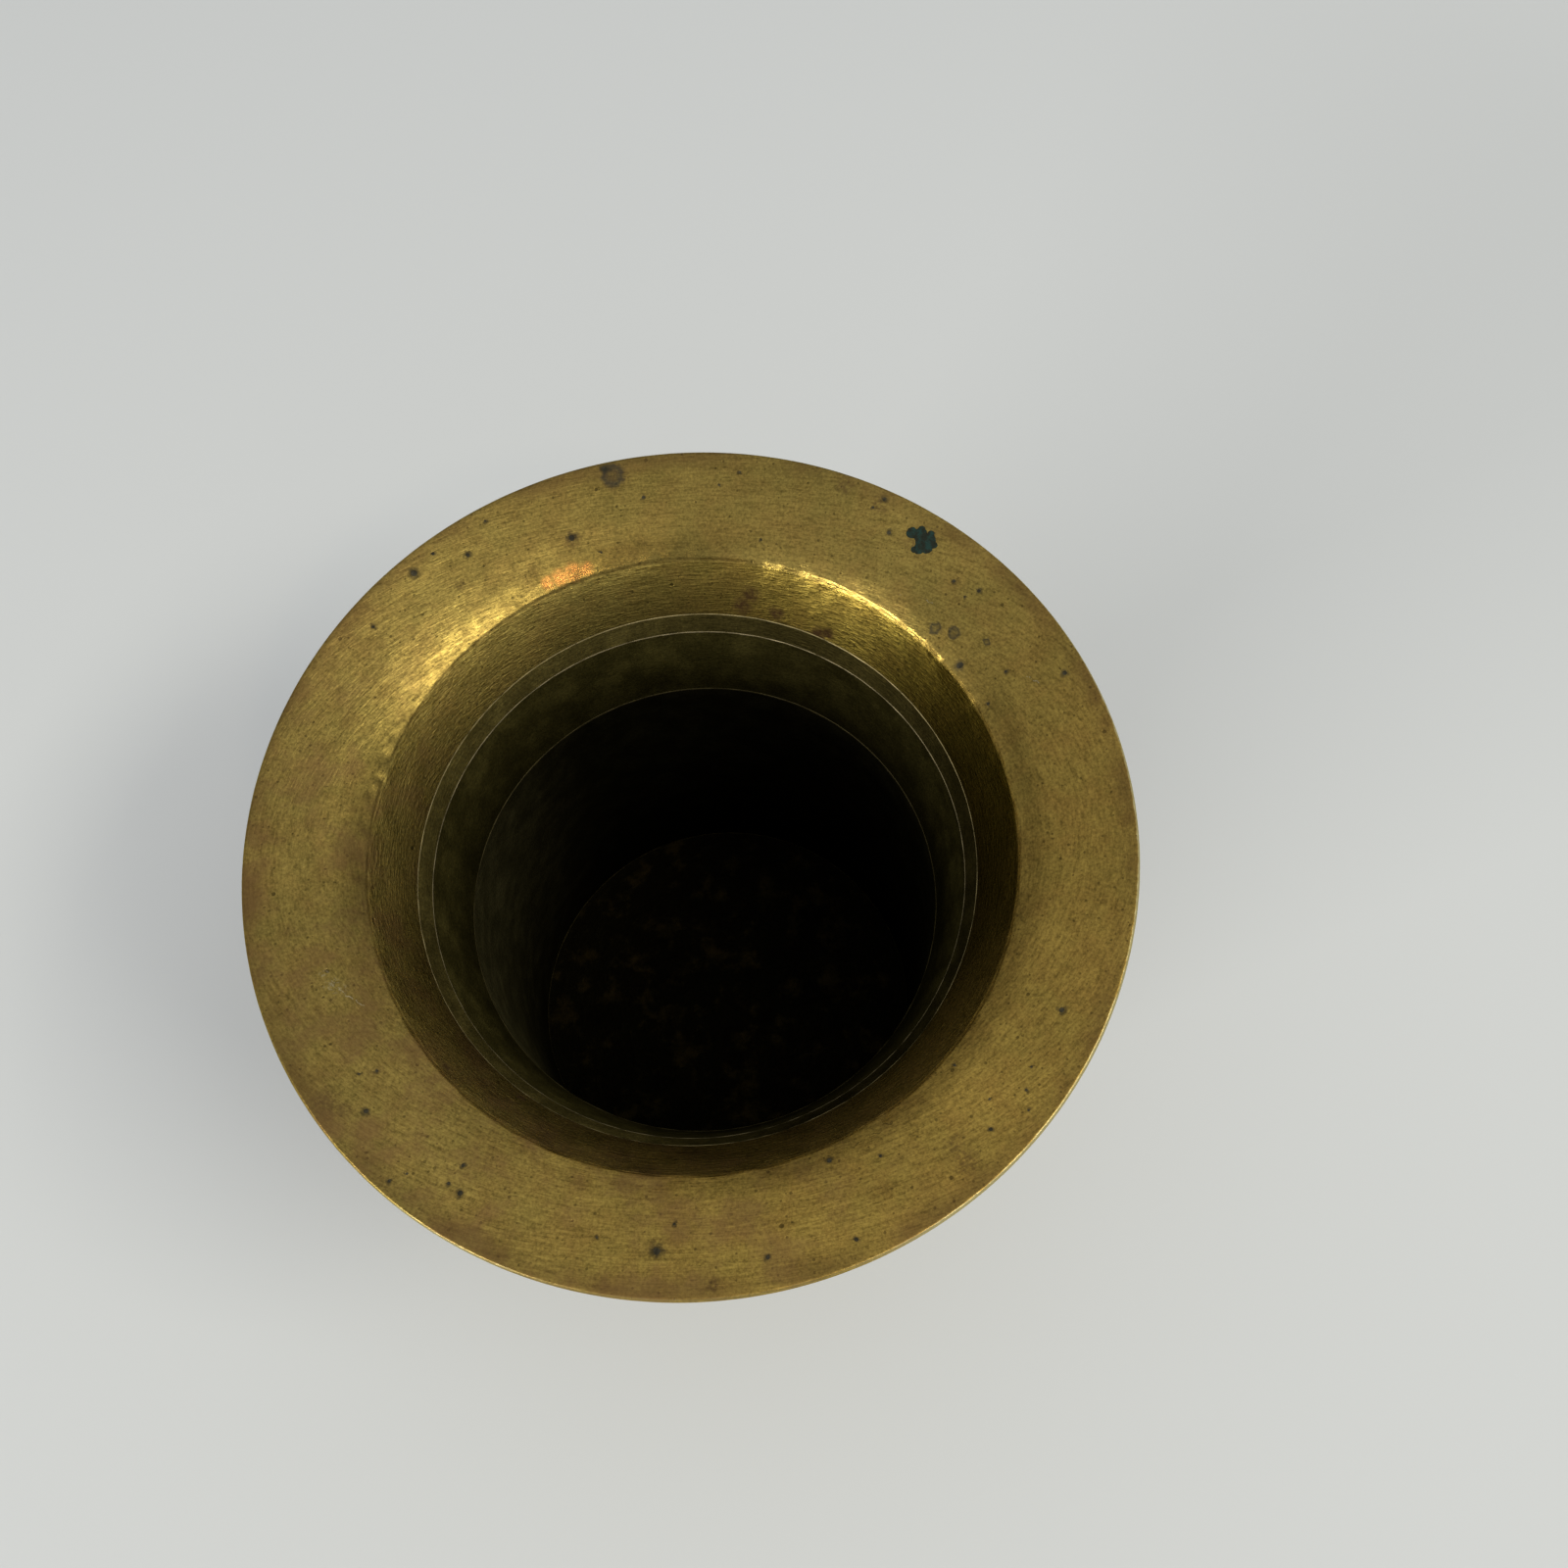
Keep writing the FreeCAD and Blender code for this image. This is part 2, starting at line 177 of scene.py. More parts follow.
def half_section(corners, closed=True, step=0.8):
    """Points (radius, height, grime, give) in millimetres, anticlockwise, with rounded corners."""
    count = len(corners)
    corners = [tuple(c) + (0.0,) * (5 - len(c)) for c in corners]
    rounded = []
    for i, (radius, height, bend, grime, give) in enumerate(corners):
        here = Vector((radius, height))
        if not closed and i in (0, count - 1):
            rounded.append((radius, height, grime, give))
            continue
        before = Vector(corners[i - 1][:2]) - here
        after = Vector(corners[(i + 1) % count][:2]) - here
        half_angle = before.angle(after) / 2
        if bend <= 0:
            kept = [here]
            if math.pi - 2 * half_angle > SHARP:
                kept = [
                    here + before.normalized() * min(HOLD, 0.3 * before.length),
                    here,
                    here + after.normalized() * min(HOLD, 0.3 * after.length),
                ]
            rounded += [(point.x, point.y, grime, give) for point in kept]
            continue
        tangent = min(bend / math.tan(half_angle), 0.45 * before.length, 0.45 * after.length)
        bend = tangent * math.tan(half_angle)
        middle = here + (before.normalized() + after.normalized()).normalized() * (
            bend / math.sin(half_angle)
        )
        first = here + before.normalized() * tangent - middle
        last = here + after.normalized() * tangent - middle
        turn = first.angle_signed(last)
        steps = max(2, round(abs(math.degrees(turn)) / ARC_STEP))
        for k in range(steps + 1):
            point = middle + Matrix.Rotation(-turn * k / steps, 2) @ first
            rounded.append((point.x, point.y, grime, give))
    ends = rounded[1:] + rounded[:1] if closed else rounded[1:]
    points = []
    for start, end in zip(rounded, ends):
        parts = max(1, math.ceil(math.dist(start[:2], end[:2]) / step))
        for k in range(parts):
            points.append(tuple(s + (e - s) * k / parts for s, e in zip(start, end)))
    points.append(rounded[0] if closed else rounded[-1])
    return points


def section_object(name, points):
    """The half section as a mesh of edges, with grime and give stored on its points."""
    mesh = bpy.data.meshes.new(name)
    edges = [(i, i + 1) for i in range(len(points) - 1)]
    mesh.from_pydata([(r * MM, 0, z * MM) for r, z, _, _ in points], edges, [])
    for column, attribute in ((2, "grime"), (3, "give")):
        layer = mesh.attributes.new(attribute, "FLOAT", "POINT")
        layer.data.foreach_set("value", [p[column] for p in points])
    piece = bpy.data.objects.new(name, mesh)
    bpy.context.scene.collection.objects.link(piece)
    return piece


# %% [markdown]
# ## The lathe
# Every brass section follows one rule, the half section swept round Z, so one Geometry Nodes tree
# makes them all. A flat grid has as many columns as steps round the piece and as many rows as points
# in the section. Each grid point looks up its row in the section, turns by its column, and lands on
# the surface. Two noises then move it a little: a slow one for metal that isn't quite round, and a
# short one for hammer and file marks. Merging the doubles closes the seam and the poles. The tree
# keeps two numbers on the metal for the finishes: the section's grime, and inside, which says how
# squarely the metal faces the axis.

# %% Helpers for geometry trees
def tree_inputs(tree, sockets):
    """Declares a geometry tree's inputs and its one output, and returns its Group Input's outputs."""
    tree.interface.new_socket(name="Geometry", in_out="INPUT", socket_type="NodeSocketGeometry")
    for name, kind in sockets:
        tree.interface.new_socket(name=name, in_out="INPUT", socket_type=f"NodeSocket{kind}")
    tree.interface.new_socket(name="Geometry", in_out="OUTPUT", socket_type="NodeSocketGeometry")
    return tree.nodes.new("NodeGroupInput").outputs


def store(tree, geometry, name, value, kind="FLOAT"):
    """Keeps a value on the geometry's points, under that name."""
    inputs = {"Geometry": geometry, "Name": name, "Value": value}
    node = add_node(
        tree, "GeometryNodeStoreNamedAttribute", inputs, data_type=kind, domain="POINT"
    )
    return node.outputs[0]


def recall(tree, name, kind="FLOAT"):
    """The value kept under that name."""
    node = add_node(tree, "GeometryNodeInputNamedAttribute", {"Name": name}, data_type=kind)
    return node.outputs[0]


def finish_tree(tree, geometry, finish, where=True):
    """Smooth shading, then real geometry in place of instances, then the finish where it goes."""
    smooth = add_node(tree, "GeometryNodeSetShadeSmooth", {"Geometry": geometry})
    real = add_node(tree, "GeometryNodeRealizeInstances", {"Geometry": smooth.outputs[0]})
    painted = add_node(
        tree,
        "GeometryNodeSetMaterial",
        {"Geometry": real.outputs[0], "Selection": where, "Material": finish},
    )
    out = tree.nodes.new("NodeGroupOutput")
    tree.links.new(painted.outputs[0], out.inputs[0])


# %% The lathe tree
SLOW_SCALE = 0.9
UP_SCALE = 1.37
MERGE = 0.002


def make_lathe():
    """The tree that sweeps a half section round Z."""
    tree = bpy.data.node_groups.new("Lathe", "GeometryNodeTree")
    given = tree_inputs(
        tree,
        [
            ("Around", "Int"),
            ("Out of Round", "Float"),
            ("Hand Marks", "Float"),
            ("Mark Length", "Float"),
            ("Seed", "Float"),
            ("Finish", "Material"),
        ],
    )
    section, around = given["Geometry"], given["Around"]
    rows = add_node(tree, "GeometryNodeAttributeDomainSize", {"Geometry": section}).outputs[0]
    columns = calc(tree, "ADD", around, 1)
    sheet = add_node(
        tree, "GeometryNodeMeshGrid", {"Vertices X": columns, "Vertices Y": rows}
    ).outputs[0]
    index = tree.nodes.new("GeometryNodeInputIndex").outputs[0]
    column = calc(tree, "FLOOR", calc(tree, "DIVIDE", calc(tree, "ADD", index, 0.5), rows))
    row = calc(tree, "SUBTRACT", index, times(tree, column, rows))

    def from_section(kind, value):
        """The value at this grid point's row of the section."""
        inputs = {"Geometry": section, "Value": value, "Index": row}
        return add_node(tree, "GeometryNodeSampleIndex", inputs, data_type=kind).outputs[0]

    position = tree.nodes.new("GeometryNodeInputPosition").outputs[0]
    place = add_node(tree, "ShaderNodeSeparateXYZ", {0: from_section("FLOAT_VECTOR", position)})
    radius, height = place.outputs["X"], place.outputs["Z"]
    give = from_section("FLOAT", recall(tree, "give"))
    angle = times(tree, calc(tree, "DIVIDE", column, around), math.tau)
    outward = combine(tree, calc(tree, "COSINE", angle), calc(tree, "SINE", angle), 0.0)
    straight = vector_calc(tree, "SCALE", outward, scale=radius)
    turned = vector_calc(tree, "ADD", straight, combine(tree, 0.0, 0.0, height))

    slow_place = vector_calc(tree, "ADD", outward, combine(tree, given["Seed"], 0.0, 0.0))
    slow = calc(tree, "SUBTRACT", grain(tree, slow_place, SLOW_SCALE, 0.0), 0.5)
    slow = times(tree, times(tree, slow, given["Out of Round"]), give)
    mark_scale = calc(tree, "DIVIDE", 1.0, given["Mark Length"])
    mark_place = vector_calc(tree, "SCALE", turned, scale=mark_scale)
    mark_place = vector_calc(tree, "ADD", mark_place, combine(tree, 0.0, given["Seed"], 0.0))
    strength = times(tree, given["Hand Marks"], give)
    marks_out = calc(tree, "SUBTRACT", grain(tree, mark_place, 1.0, 1.0), 0.5)
    marks_up = calc(tree, "SUBTRACT", grain(tree, mark_place, UP_SCALE, 1.0), 0.5)
    marks_out = times(tree, marks_out, strength)
    marks_up = times(tree, marks_up, strength)
    shift_out = vector_calc(tree, "SCALE", outward, scale=calc(tree, "ADD", marks_out, slow))
    shift = vector_calc(tree, "ADD", shift_out, combine(tree, 0.0, 0.0, marks_up))

    moved = add_node(
        tree, "GeometryNodeSetPosition", {"Geometry": sheet, "Position": turned, "Offset": shift}
    )
    # A sampled field is looked up again after the merge, so the grime is stored before it.
    grime = from_section("FLOAT", recall(tree, "grime"))
    kept = store(tree, moved.outputs[0], "grime", grime)
    merged = add_node(
        tree, "GeometryNodeMergeByDistance", {"Geometry": kept, "Distance": MERGE * MM}
    )
    flat_place = vector_calc(tree, "MULTIPLY", position, (1, 1, 0))
    normal = tree.nodes.new("GeometryNodeInputNormal").outputs[0]
    facing_in = vector_calc(tree, "DOT_PRODUCT", vector_calc(tree, "NORMALIZE", flat_place), normal)
    sided = store(tree, merged.outputs[0], "inside", times(tree, facing_in, -1.0))
    finish_tree(tree, sided, given["Finish"])
    return tree


lathe = make_lathe()
print("the lathe tree has", len(lathe.nodes), "nodes")


# %% [markdown]
# ## Running a tree once
# A modifier keeps working as long as it is there. The measured frame wants plain meshes, so the
# result is copied to a mesh of its own and the modifier goes.

# %% Modifier to plain mesh
def run_tree(tree, source, name, values):
    """Runs a geometry tree on source with the named inputs, and returns the result as one object."""
    modifier = source.modifiers.new(tree.name, "NODES")
    modifier.node_group = tree
    for item in tree.interface.items_tree:
        if item.in_out == "INPUT" and item.name in values:
            modifier[item.identifier] = values[item.name]
    bpy.context.view_layer.update()
    evaluated = source.evaluated_get(bpy.context.evaluated_depsgraph_get())
    mesh = bpy.data.meshes.new_from_object(evaluated)
    mesh.name = name
    source.modifiers.clear()
    bpy.data.objects.remove(source)
    piece = bpy.data.objects.new(name, mesh)
    bpy.context.scene.collection.objects.link(piece)
    return piece


def triangles(piece):
    """How many triangles the piece's faces make."""
    return sum(len(face.vertices) - 2 for face in piece.data.polygons)


def turn_piece(name, corners, finish, around=360, closed=True, step=0.8, **sizes):
    """One turned piece. sizes: out_of_round and hand_marks in mm, mark_length in mm, and seed."""
    source = section_object(name + "_section", half_section(corners, closed, step))
    values = {
        "Around": around,
        "Out of Round": sizes.get("out_of_round", 0.0) * MM,
        "Hand Marks": sizes.get("hand_marks", 0.0) * MM,
        "Mark Length": sizes.get("mark_length", 3.0) * MM,
        "Seed": sizes.get("seed", 0.0),
        "Finish": finish,
    }
    piece = run_tree(lathe, source, name, values)
    print(f"{name}: {triangles(piece)} triangles")
    return piece


def stands_for(piece, slot, *nodes):
    """The piece takes the place of those CAD nodes and rides on the body. slot is not used."""
    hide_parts(*nodes)
    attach(piece, "root")


# %% [markdown]
# ## What old brass is made of
# Clean brass is yellow. Air and fingers turn it olive, then brown, and the change comes in clouds a
# few millimetres across, with fine speckle inside them. Polishing leaves short strokes that run round
# the piece. The next helpers make these patterns one by one, all from Object coordinates in
# millimetres, so that they stay fixed to the metal from every side.

# %% An empty finish, and where its points are
Where = namedtuple("Where", "place radius height direction")


def new_finish(name):
    """An empty material with one Principled shader."""
    material = bpy.data.materials.new(name)
    material.use_nodes = True
    tree = material.node_tree
    tree.nodes.clear()
    shader = tree.nodes.new("ShaderNodeBsdfPrincipled")
    out = tree.nodes.new("ShaderNodeOutputMaterial")
    tree.links.new(shader.outputs[0], out.inputs["Surface"])
    return material, tree, shader


def round_the_axis(tree):
    """Where a point is, in millimetres, and the direction from the axis to it."""
    local = tree.nodes.new("ShaderNodeTexCoord").outputs["Object"]
    place = vector_calc(tree, "SCALE", local, scale=1 / MM)
    parts = add_node(tree, "ShaderNodeSeparateXYZ", {0: place}).outputs
    flat = combine(tree, parts["X"], parts["Y"], 0.0)
    radius = vector_calc(tree, "LENGTH", flat)
    return Where(place, radius, parts["Z"], vector_calc(tree, "NORMALIZE", flat))


def on_side(tree, where, azimuth, start, full, low=0.0, high=1.0):
    """high on the side of the cup at that azimuth, in degrees, and low away from it. It changes while
    the cosine of the angle between the two goes from start to full."""
    turn = math.radians(azimuth)
    facing = vector_calc(tree, "DOT_PRODUCT", where.direction, (math.cos(turn), math.sin(turn), 0.0))
    return spread(tree, facing, start, full, low, high)


def kept_number(tree, name):
    """A number that the lathe kept on the metal under that name."""
    return add_node(tree, "ShaderNodeAttribute", attribute_name=name).outputs["Fac"]


# %% Strokes, pits, colours and bumps
def polish_strokes(tree, where, length, width, oval=1.0):
    """Short strokes of that length and width in millimetres, round the axis. oval below 1 draws them
    along ovals that are wider than they are deep, as an arm rubs them from the front."""
    squeezed = vector_calc(tree, "MULTIPLY", where.place, (oval, 1, 0))
    turns = vector_calc(tree, "NORMALIZE", squeezed)
    turns = vector_calc(tree, "SCALE", turns, scale=CREASE[0] / length)
    across = times(tree, vector_calc(tree, "LENGTH", squeezed), 1.0 / width)
    along = times(tree, where.height, 1.0 / width)
    moved = vector_calc(tree, "ADD", turns, combine(tree, 0.0, 0.0, across))
    return grain(tree, moved, 1.0, 2.0, 0.6, w=along)


def pits(tree, place, spacing, share, size):
    """1 in the small round pits and 0 between them. share is how many cells hold one."""
    cells = add_node(
        tree,
        "ShaderNodeTexVoronoi",
        {"Vector": place, "Scale": 1.0 / spacing, "Randomness": 1.0},
        voronoi_dimensions="3D",
    )
    chance = add_node(tree, "ShaderNodeSeparateColor", {0: cells.outputs["Color"]}).outputs[0]
    reach = spread(tree, chance, 1.0 - share, 1.0, 0.0, size / spacing, smooth=False)
    return spread(tree, calc(tree, "SUBTRACT", reach, cells.outputs["Distance"]), 0.0, 0.06)


def blend(tree, amount, first, second, kind="MIX"):
    """first where amount is 0 and second where it is 1."""
    node = add_node(
        tree,
        "ShaderNodeMix",
        {"Factor": amount},
        data_type="RGBA",
        blend_type=kind,
        clamp_factor=True,
    )
    for socket, value in ((6, first), (7, second)):
        if isinstance(value, bpy.types.NodeSocket):
            tree.links.new(value, node.inputs[socket])
        else:
            node.inputs[socket].default_value = (*value, 1.0)
    return node.outputs[2]


def add_bump(tree, shader, relief, depth):
    """Marks too fine for the mesh, up to about that depth in millimetres."""
    inputs = {"Height": relief, "Strength": 1.0, "Distance": depth * MM}
    bump = add_node(tree, "ShaderNodeBump", inputs)
    tree.links.new(bump.outputs[0], shader.inputs["Normal"])


# %% [markdown]
# ## The brass finish
# One function paints every brass piece. Yellow and olive lie in clouds, with brown over them as far as
# the tarnish has gone, and speckle, strokes and pits make all of it lighter and darker. The lathe kept
# two numbers on the metal. Grime darkens the corners that collect dirt. Inside is near 1 where the
# metal faces the axis, so the inner wall of a piece can have a colour of its own. The bump is only for
# marks finer than a tenth of a millimetre; every bead, groove, crease and ring is real geometry.

# %% The brass finish
YELLOW = (0.345, 0.243, 0.060)
OLIVE = (0.275, 0.200, 0.049)
BROWN = (0.225, 0.140, 0.038)
SOOT = (0.012, 0.010, 0.005)
BRASS_GLANCE = (0.70, 0.60, 0.32, 1.0)
# Sizes are in millimetres. A stroke has a length and a width; a pit a spacing, a share and a size.
CLOUD, PATCH, SPECKLE = 13.0, 4.5, 0.42
FINE_STROKE, COARSE_STROKE = (1.9, 0.20), (2.4, 0.44)
PIT, FINE_PIT = (1.5, 0.12, 0.36), (0.62, 0.20, 0.24)
MARK_DEPTH = 0.03


def brass_finish(name, tarnish, shine, inside_colour=None, extra=None, oval=1.0):
    """Old brass. tarnish is how brown it is, and shine is its lowest roughness. inside_colour(tree,
    where) is its colour where it faces the axis. extra(tree, where, colour, rough, relief) may add
    marks of its own."""
    material, tree, shader = new_finish(name)
    where = round_the_axis(tree)
    clouds = grain(tree, where.place, 1 / CLOUD, 3.0, 0.55)
    patches = grain(tree, where.place, 1 / PATCH, 3.0, 0.6)
    speckle = grain(tree, where.place, 1 / SPECKLE, 3.0, 0.75)
    fine_strokes = polish_strokes(tree, where, *FINE_STROKE, oval)
    coarse_strokes = polish_strokes(tree, where, *COARSE_STROKE, oval)
    strokes = times(tree, calc(tree, "ADD", fine_strokes, coarse_strokes), 0.5)
    pit = pits(tree, where.place, *PIT)
    fine_pit = pits(tree, where.place, *FINE_PIT)

    colour = blend(tree, spread(tree, clouds, 0.3, 0.72), OLIVE, YELLOW)
    colour = blend(tree, spread(tree, patches, 0.35, 0.75, 0.0, tarnish), colour, BROWN)
    uneven = times(tree, calc(tree, "ADD", speckle, strokes), 0.5)
    shade = spread(tree, uneven, 0.37, 0.63, 0.48, 1.49, smooth=False)
    colour = vector_calc(tree, "SCALE", colour, scale=shade)
    colour = blend(tree, times(tree, pit, 0.6), colour, SOOT)
    colour = blend(tree, times(tree, fine_pit, 0.5), colour, SOOT)

    rough = spread(tree, patches, 0.3, 0.7, shine, shine + 0.1)
    rough = plus(tree, rough, spread(tree, strokes, 0.38, 0.62, 0.07, -0.07, smooth=False))
    relief = plus(tree, times(tree, speckle, 0.6), strokes, 2.6)
    relief = plus(tree, relief, pit, -0.7)
    relief = plus(tree, relief, fine_pit, -0.3)
    if extra:
        colour, rough, relief = extra(tree, where, colour, rough, relief)

    grime = kept_number(tree, "grime")
    ragged = spread(tree, patches, 0.25, 0.7, 0.55, 1.0)
    colour = blend(tree, times(tree, grime, ragged), colour, SOOT)
    rough = plus(tree, rough, grime, 0.2)
    # Inside, the colour is dark tarnish with painted shade.
    if inside_colour:
        inside = spread(tree, kept_number(tree, "inside"), 0.1, 0.6)
        uneven_stain = times(tree, shade, spread(tree, patches, 0.4, 0.8, 1.0, 1.3))
        inside_and_shade = vector_calc(tree, "SCALE", inside_colour(tree, where), scale=uneven_stain)
        colour = blend(tree, inside, colour, inside_and_shade)
        rough = plus(tree, rough, inside, 0.12)
    tree.links.new(colour, shader.inputs["Base Color"])
    tree.links.new(rough, shader.inputs["Roughness"])
    shader.inputs["Metallic"].default_value = 0.95
    shader.inputs["Specular Tint"].default_value = BRASS_GLANCE
    add_bump(tree, shader, relief, MARK_DEPTH)
    return material


# %% [markdown]
# ## Marks on the lip
# The lip has a life of its own: spots where drops have dried, rings under them, brown stains, pale and
# dark scratches, and a small copper-coloured patch painted where an orange glint shows. Each one is a
# clock-like entry: the angle in degrees, the radius and the size in millimetres. A scratch has two such
# ends and a width.

# %% Where the marks are
DARK_SPOTS = [
    (102, 58.8, 0.75), (97, 53.7, 0.45), (110, 50.5, 0.8), (126, 54.8, 0.6), (130, 57.7, 0.45),
    (134, 57.2, 0.9), (144, 55.8, 0.4), (121, 57.7, 0.35), (106, 47.4, 0.3), (85, 54.9, 0.3),
    (82, 57.0, 0.3), (77, 47.8, 0.3), (57, 54.3, 0.55), (60, 58.3, 0.55), (61, 56.6, 0.35),
    (44, 53.5, 0.45), (40, 54.7, 0.5), (41, 52.8, 0.3), (33, 46.1, 0.85), (22, 56.8, 0.6),
    (24, 46.2, 0.4), (27, 50.3, 0.4), (-139, 54.6, 0.6), (-130, 58.2, 0.4), (-129, 56.3, 0.3),
    (-122, 54.5, 0.65), (-124, 54.3, 0.45), (-124, 51.6, 0.45), (-143, 50.8, 0.35),
    (-144, 52.7, 0.3), (-95, 54.1, 0.85), (-93, 50.8, 0.35), (-103, 53.4, 0.3), (-29, 54.1, 0.65),
    (-48, 55.1, 0.45), (-81, 55.8, 0.5), (-69, 46.7, 0.55), (-62, 49.2, 0.4), (-44, 46.4, 0.35),
    (-70, 56.9, 0.5), (-45, 52.5, 0.3), (-41, 55.3, 0.35), (-43, 57.0, 0.3), (-38, 54.2, 0.3),
]
BROWN_STAINS = [
    (101, 57.5, 2.0), (-143, 57.6, 1.7), (-141, 56.6, 1.0), (-53, 53.6, 1.3), (-53, 56.0, 1.6),
    (-88, 58.0, 1.0), (-95, 53.6, 1.4), (110, 50.3, 1.3), (-126, 40.5, 0.8), (130, 52.0, 0.8),
    (60, 57.4, 1.4), (66, 58.0, 1.3), (52, 55.5, 2.4),
]
THROAT_STAINS = [
    (78, 41.9, 1.3), (79.5, 40.9, 1.3), (72, 40.7, 1.1), (62, 40.2, 1.0), (60, 40.6, 0.9),
    (-138, 44.0, 0.7), (-126, 40.7, 0.6),
]
RINGS = [(41, 47.2, 0.95), (38, 48.4, 0.9), (101, 57.6, 1.7), (33, 50.6, 0.6)]
RING_HOLES = [(angle, radius, 0.55 * size) for angle, radius, size in RINGS]
# Painted glint: copper-coloured spots where an orange glint shows, a little smoother too.
GLINT_PATCHES = [(117.0, 46.2, 0.9), (114.5, 46.2, 1.1), (112.0, 46.2, 1.2), (109.5, 46.0, 0.9)]
PALE_MARKS = [(-158, 50.9, 0.9), (-157, 50.0, 0.6), (-160, 51.6, 0.5)]
PALE_SCRATCHES = [
    ((51.2, 47.2), (49.2, 47.9), 0.10), ((49.2, 47.9), (47.4, 47.9), 0.09),
    ((46, 49.0), (44, 49.3), 0.07), ((-158, 50.9), (-155, 49.2), 0.13),
    ((-155, 49.2), (-152, 47.8), 0.10), ((24.5, 52.4), (22.8, 53.2), 0.10),
    ((22.8, 53.2), (21.8, 53.0), 0.09),
]
DARK_SCRATCHES = [
    ((-57.3, 47.0), (-58.6, 45.9), 0.10), ((-60.0, 46.7), (-61.2, 46.2), 0.10),
    ((-61.2, 46.2), (-62.6, 46.5), 0.09), ((-63.4, 46.4), (-65.2, 46.5), 0.08),
]
print(len(DARK_SPOTS), "spots and", len(BROWN_STAINS + THROAT_STAINS), "stains")


# %% Finding a mark
def lip_height(radius):
    """How high the lip's upper face is at that radius, in millimetres."""
    bend_radius, bend_height = LIP_BEND
    crease_radius, crease_height = CREASE
    if radius > bend_radius:
        inner, outer, low, high = bend_radius, RIM_RADIUS, bend_height, RIM_HEIGHT
    elif radius > crease_radius:
        inner, outer, low, high = crease_radius, bend_radius, crease_height, bend_height
    else:
        inner, outer, low, high = MOUTH_SEAM_RADIUS, crease_radius, THROAT_END, crease_height
    return low + (high - low) * (radius - inner) / (outer - inner)


def on_lip(angle, radius):
    """The point of the lip or throat at that angle and radius, in millimetres."""
    turn = math.radians(angle)
    return Vector((radius * math.cos(turn), radius * math.sin(turn), lip_height(radius)))


def nearest_of(tree, place, spots, soft):
    """1 at the heart of the nearest spot, falling to 0 at its edge."""
    total = 0.0
    for angle, radius, size in spots:
        away = vector_calc(tree, "DISTANCE", place, tuple(on_lip(angle, radius)))
        one = spread(tree, away, size * (1 + soft), size * (1 - soft))
        total = calc(tree, "MAXIMUM", total, one)
    return total


def scratches(tree, place, lines):
    """1 on the nearest of these straight scratches and 0 beside it."""
    total = 0.0
    for first_end, last_end, width in lines:
        start = on_lip(*first_end)
        run = on_lip(*last_end) - start
        from_start = vector_calc(tree, "SUBTRACT", place, tuple(start))
        share = vector_calc(tree, "DOT_PRODUCT", from_start, tuple(run / run.length_squared))
        share = calc(tree, "MULTIPLY", share, 1.0, clamp=True)
        nearest = vector_calc(tree, "SCALE", tuple(run), scale=share)
        away = vector_calc(tree, "DISTANCE", from_start, nearest)
        total = calc(tree, "MAXIMUM", total, spread(tree, away, width, 0.3 * width))
    return total


# %% [markdown]
# ## No two sides are alike
# One side of the lip has been handled more, so it is golden, and the side across from it is brown and
# mottled. On some sides, and beside the crease, the lip is painted darker as painted shade. The throat
# has painted shade and light: it is dark where the light never reaches, and lighter at the front and on
# the left. Each of these is a tint that is strongest at one azimuth, so they are short tables: the
# azimuth, where the tint starts and is full, and how strong it is.

# %% Sides of the lip and throat
BLACK = (0.0, 0.0, 0.0)
GOLDEN_TINT = (1.20, 1.12, 0.98)
MOTTLED_BROWN = (0.230, 0.125, 0.048)
RIM_DIRT = (0.110, 0.058, 0.022)
# Painted shade: the throat is darker than the lip.
THROAT_PAINTED_SHADE = (0.80, 0.80, 0.66)
GOLDEN_SIDE, BROWN_SIDE, FRONT, BACK = -42, -136, -90, 60
# Painted shade: the lip is darker toward each of these azimuths.
SHADED_SIDES = [(5, 0.20), (-177, 0.24), (96, 0.20)]
# Painted shade beside the crease, on the lip side, which narrows the gleams there.
CREASE_SHADES = [(-30, 0.10, 0.80, 0.42), (172, 0.87, 0.98, 0.40), (104, 0.87, 0.98, 0.35)]
# Painted light and shade round the throat, by azimuth.
THROAT_PAINTED_LIGHT_AND_SHADE = [
    (0, 0.1, 0.95, 1.0, (0.24, 0.25, 0.16)), (FRONT, 0.0, 1.0, 1.0, (0.95, 0.98, 1.10)),
    (148, 0.2, 0.95, 1.0, (1.26, 1.32, 1.35)), (-50, 0.3, 0.95, 0.38, BLACK),
]


def lip_tones_and_painted_shade(tree, where, colour):
    """Golden and brown sides, with painted shade on a few sides and beside the crease."""
    golden = on_side(tree, where, GOLDEN_SIDE, -0.1, 0.9)
    colour = blend(tree, golden, colour, GOLDEN_TINT, "MULTIPLY")
    mottle = spread(tree, grain(tree, where.place, 1 / 7, 3.0, 0.65), 0.42, 0.68)
    mottle = times(tree, mottle, on_side(tree, where, BROWN_SIDE, -0.1, 0.8, 0.0, 0.55))
    colour = blend(tree, mottle, colour, MOTTLED_BROWN)
    # Painted shade toward a few sides.
    for azimuth, amount in SHADED_SIDES:
        colour = blend(tree, on_side(tree, where, azimuth, 0.68, 1.0, 0.0, amount), colour, BLACK)
    # Painted shade beside the crease.
    fading_out = spread(tree, where.radius, CREASE[0] + 5.0, CREASE[0] + 0.5)
    by_crease = times(tree, fading_out, spread(tree, where.radius, CREASE[0] - 0.4, CREASE[0]))
    for azimuth, start, full, amount in CREASE_SHADES:
        shaded = times(tree, by_crease, on_side(tree, where, azimuth, start, full, 0.0, amount))
        colour = blend(tree, shaded, colour, BLACK)
    return colour


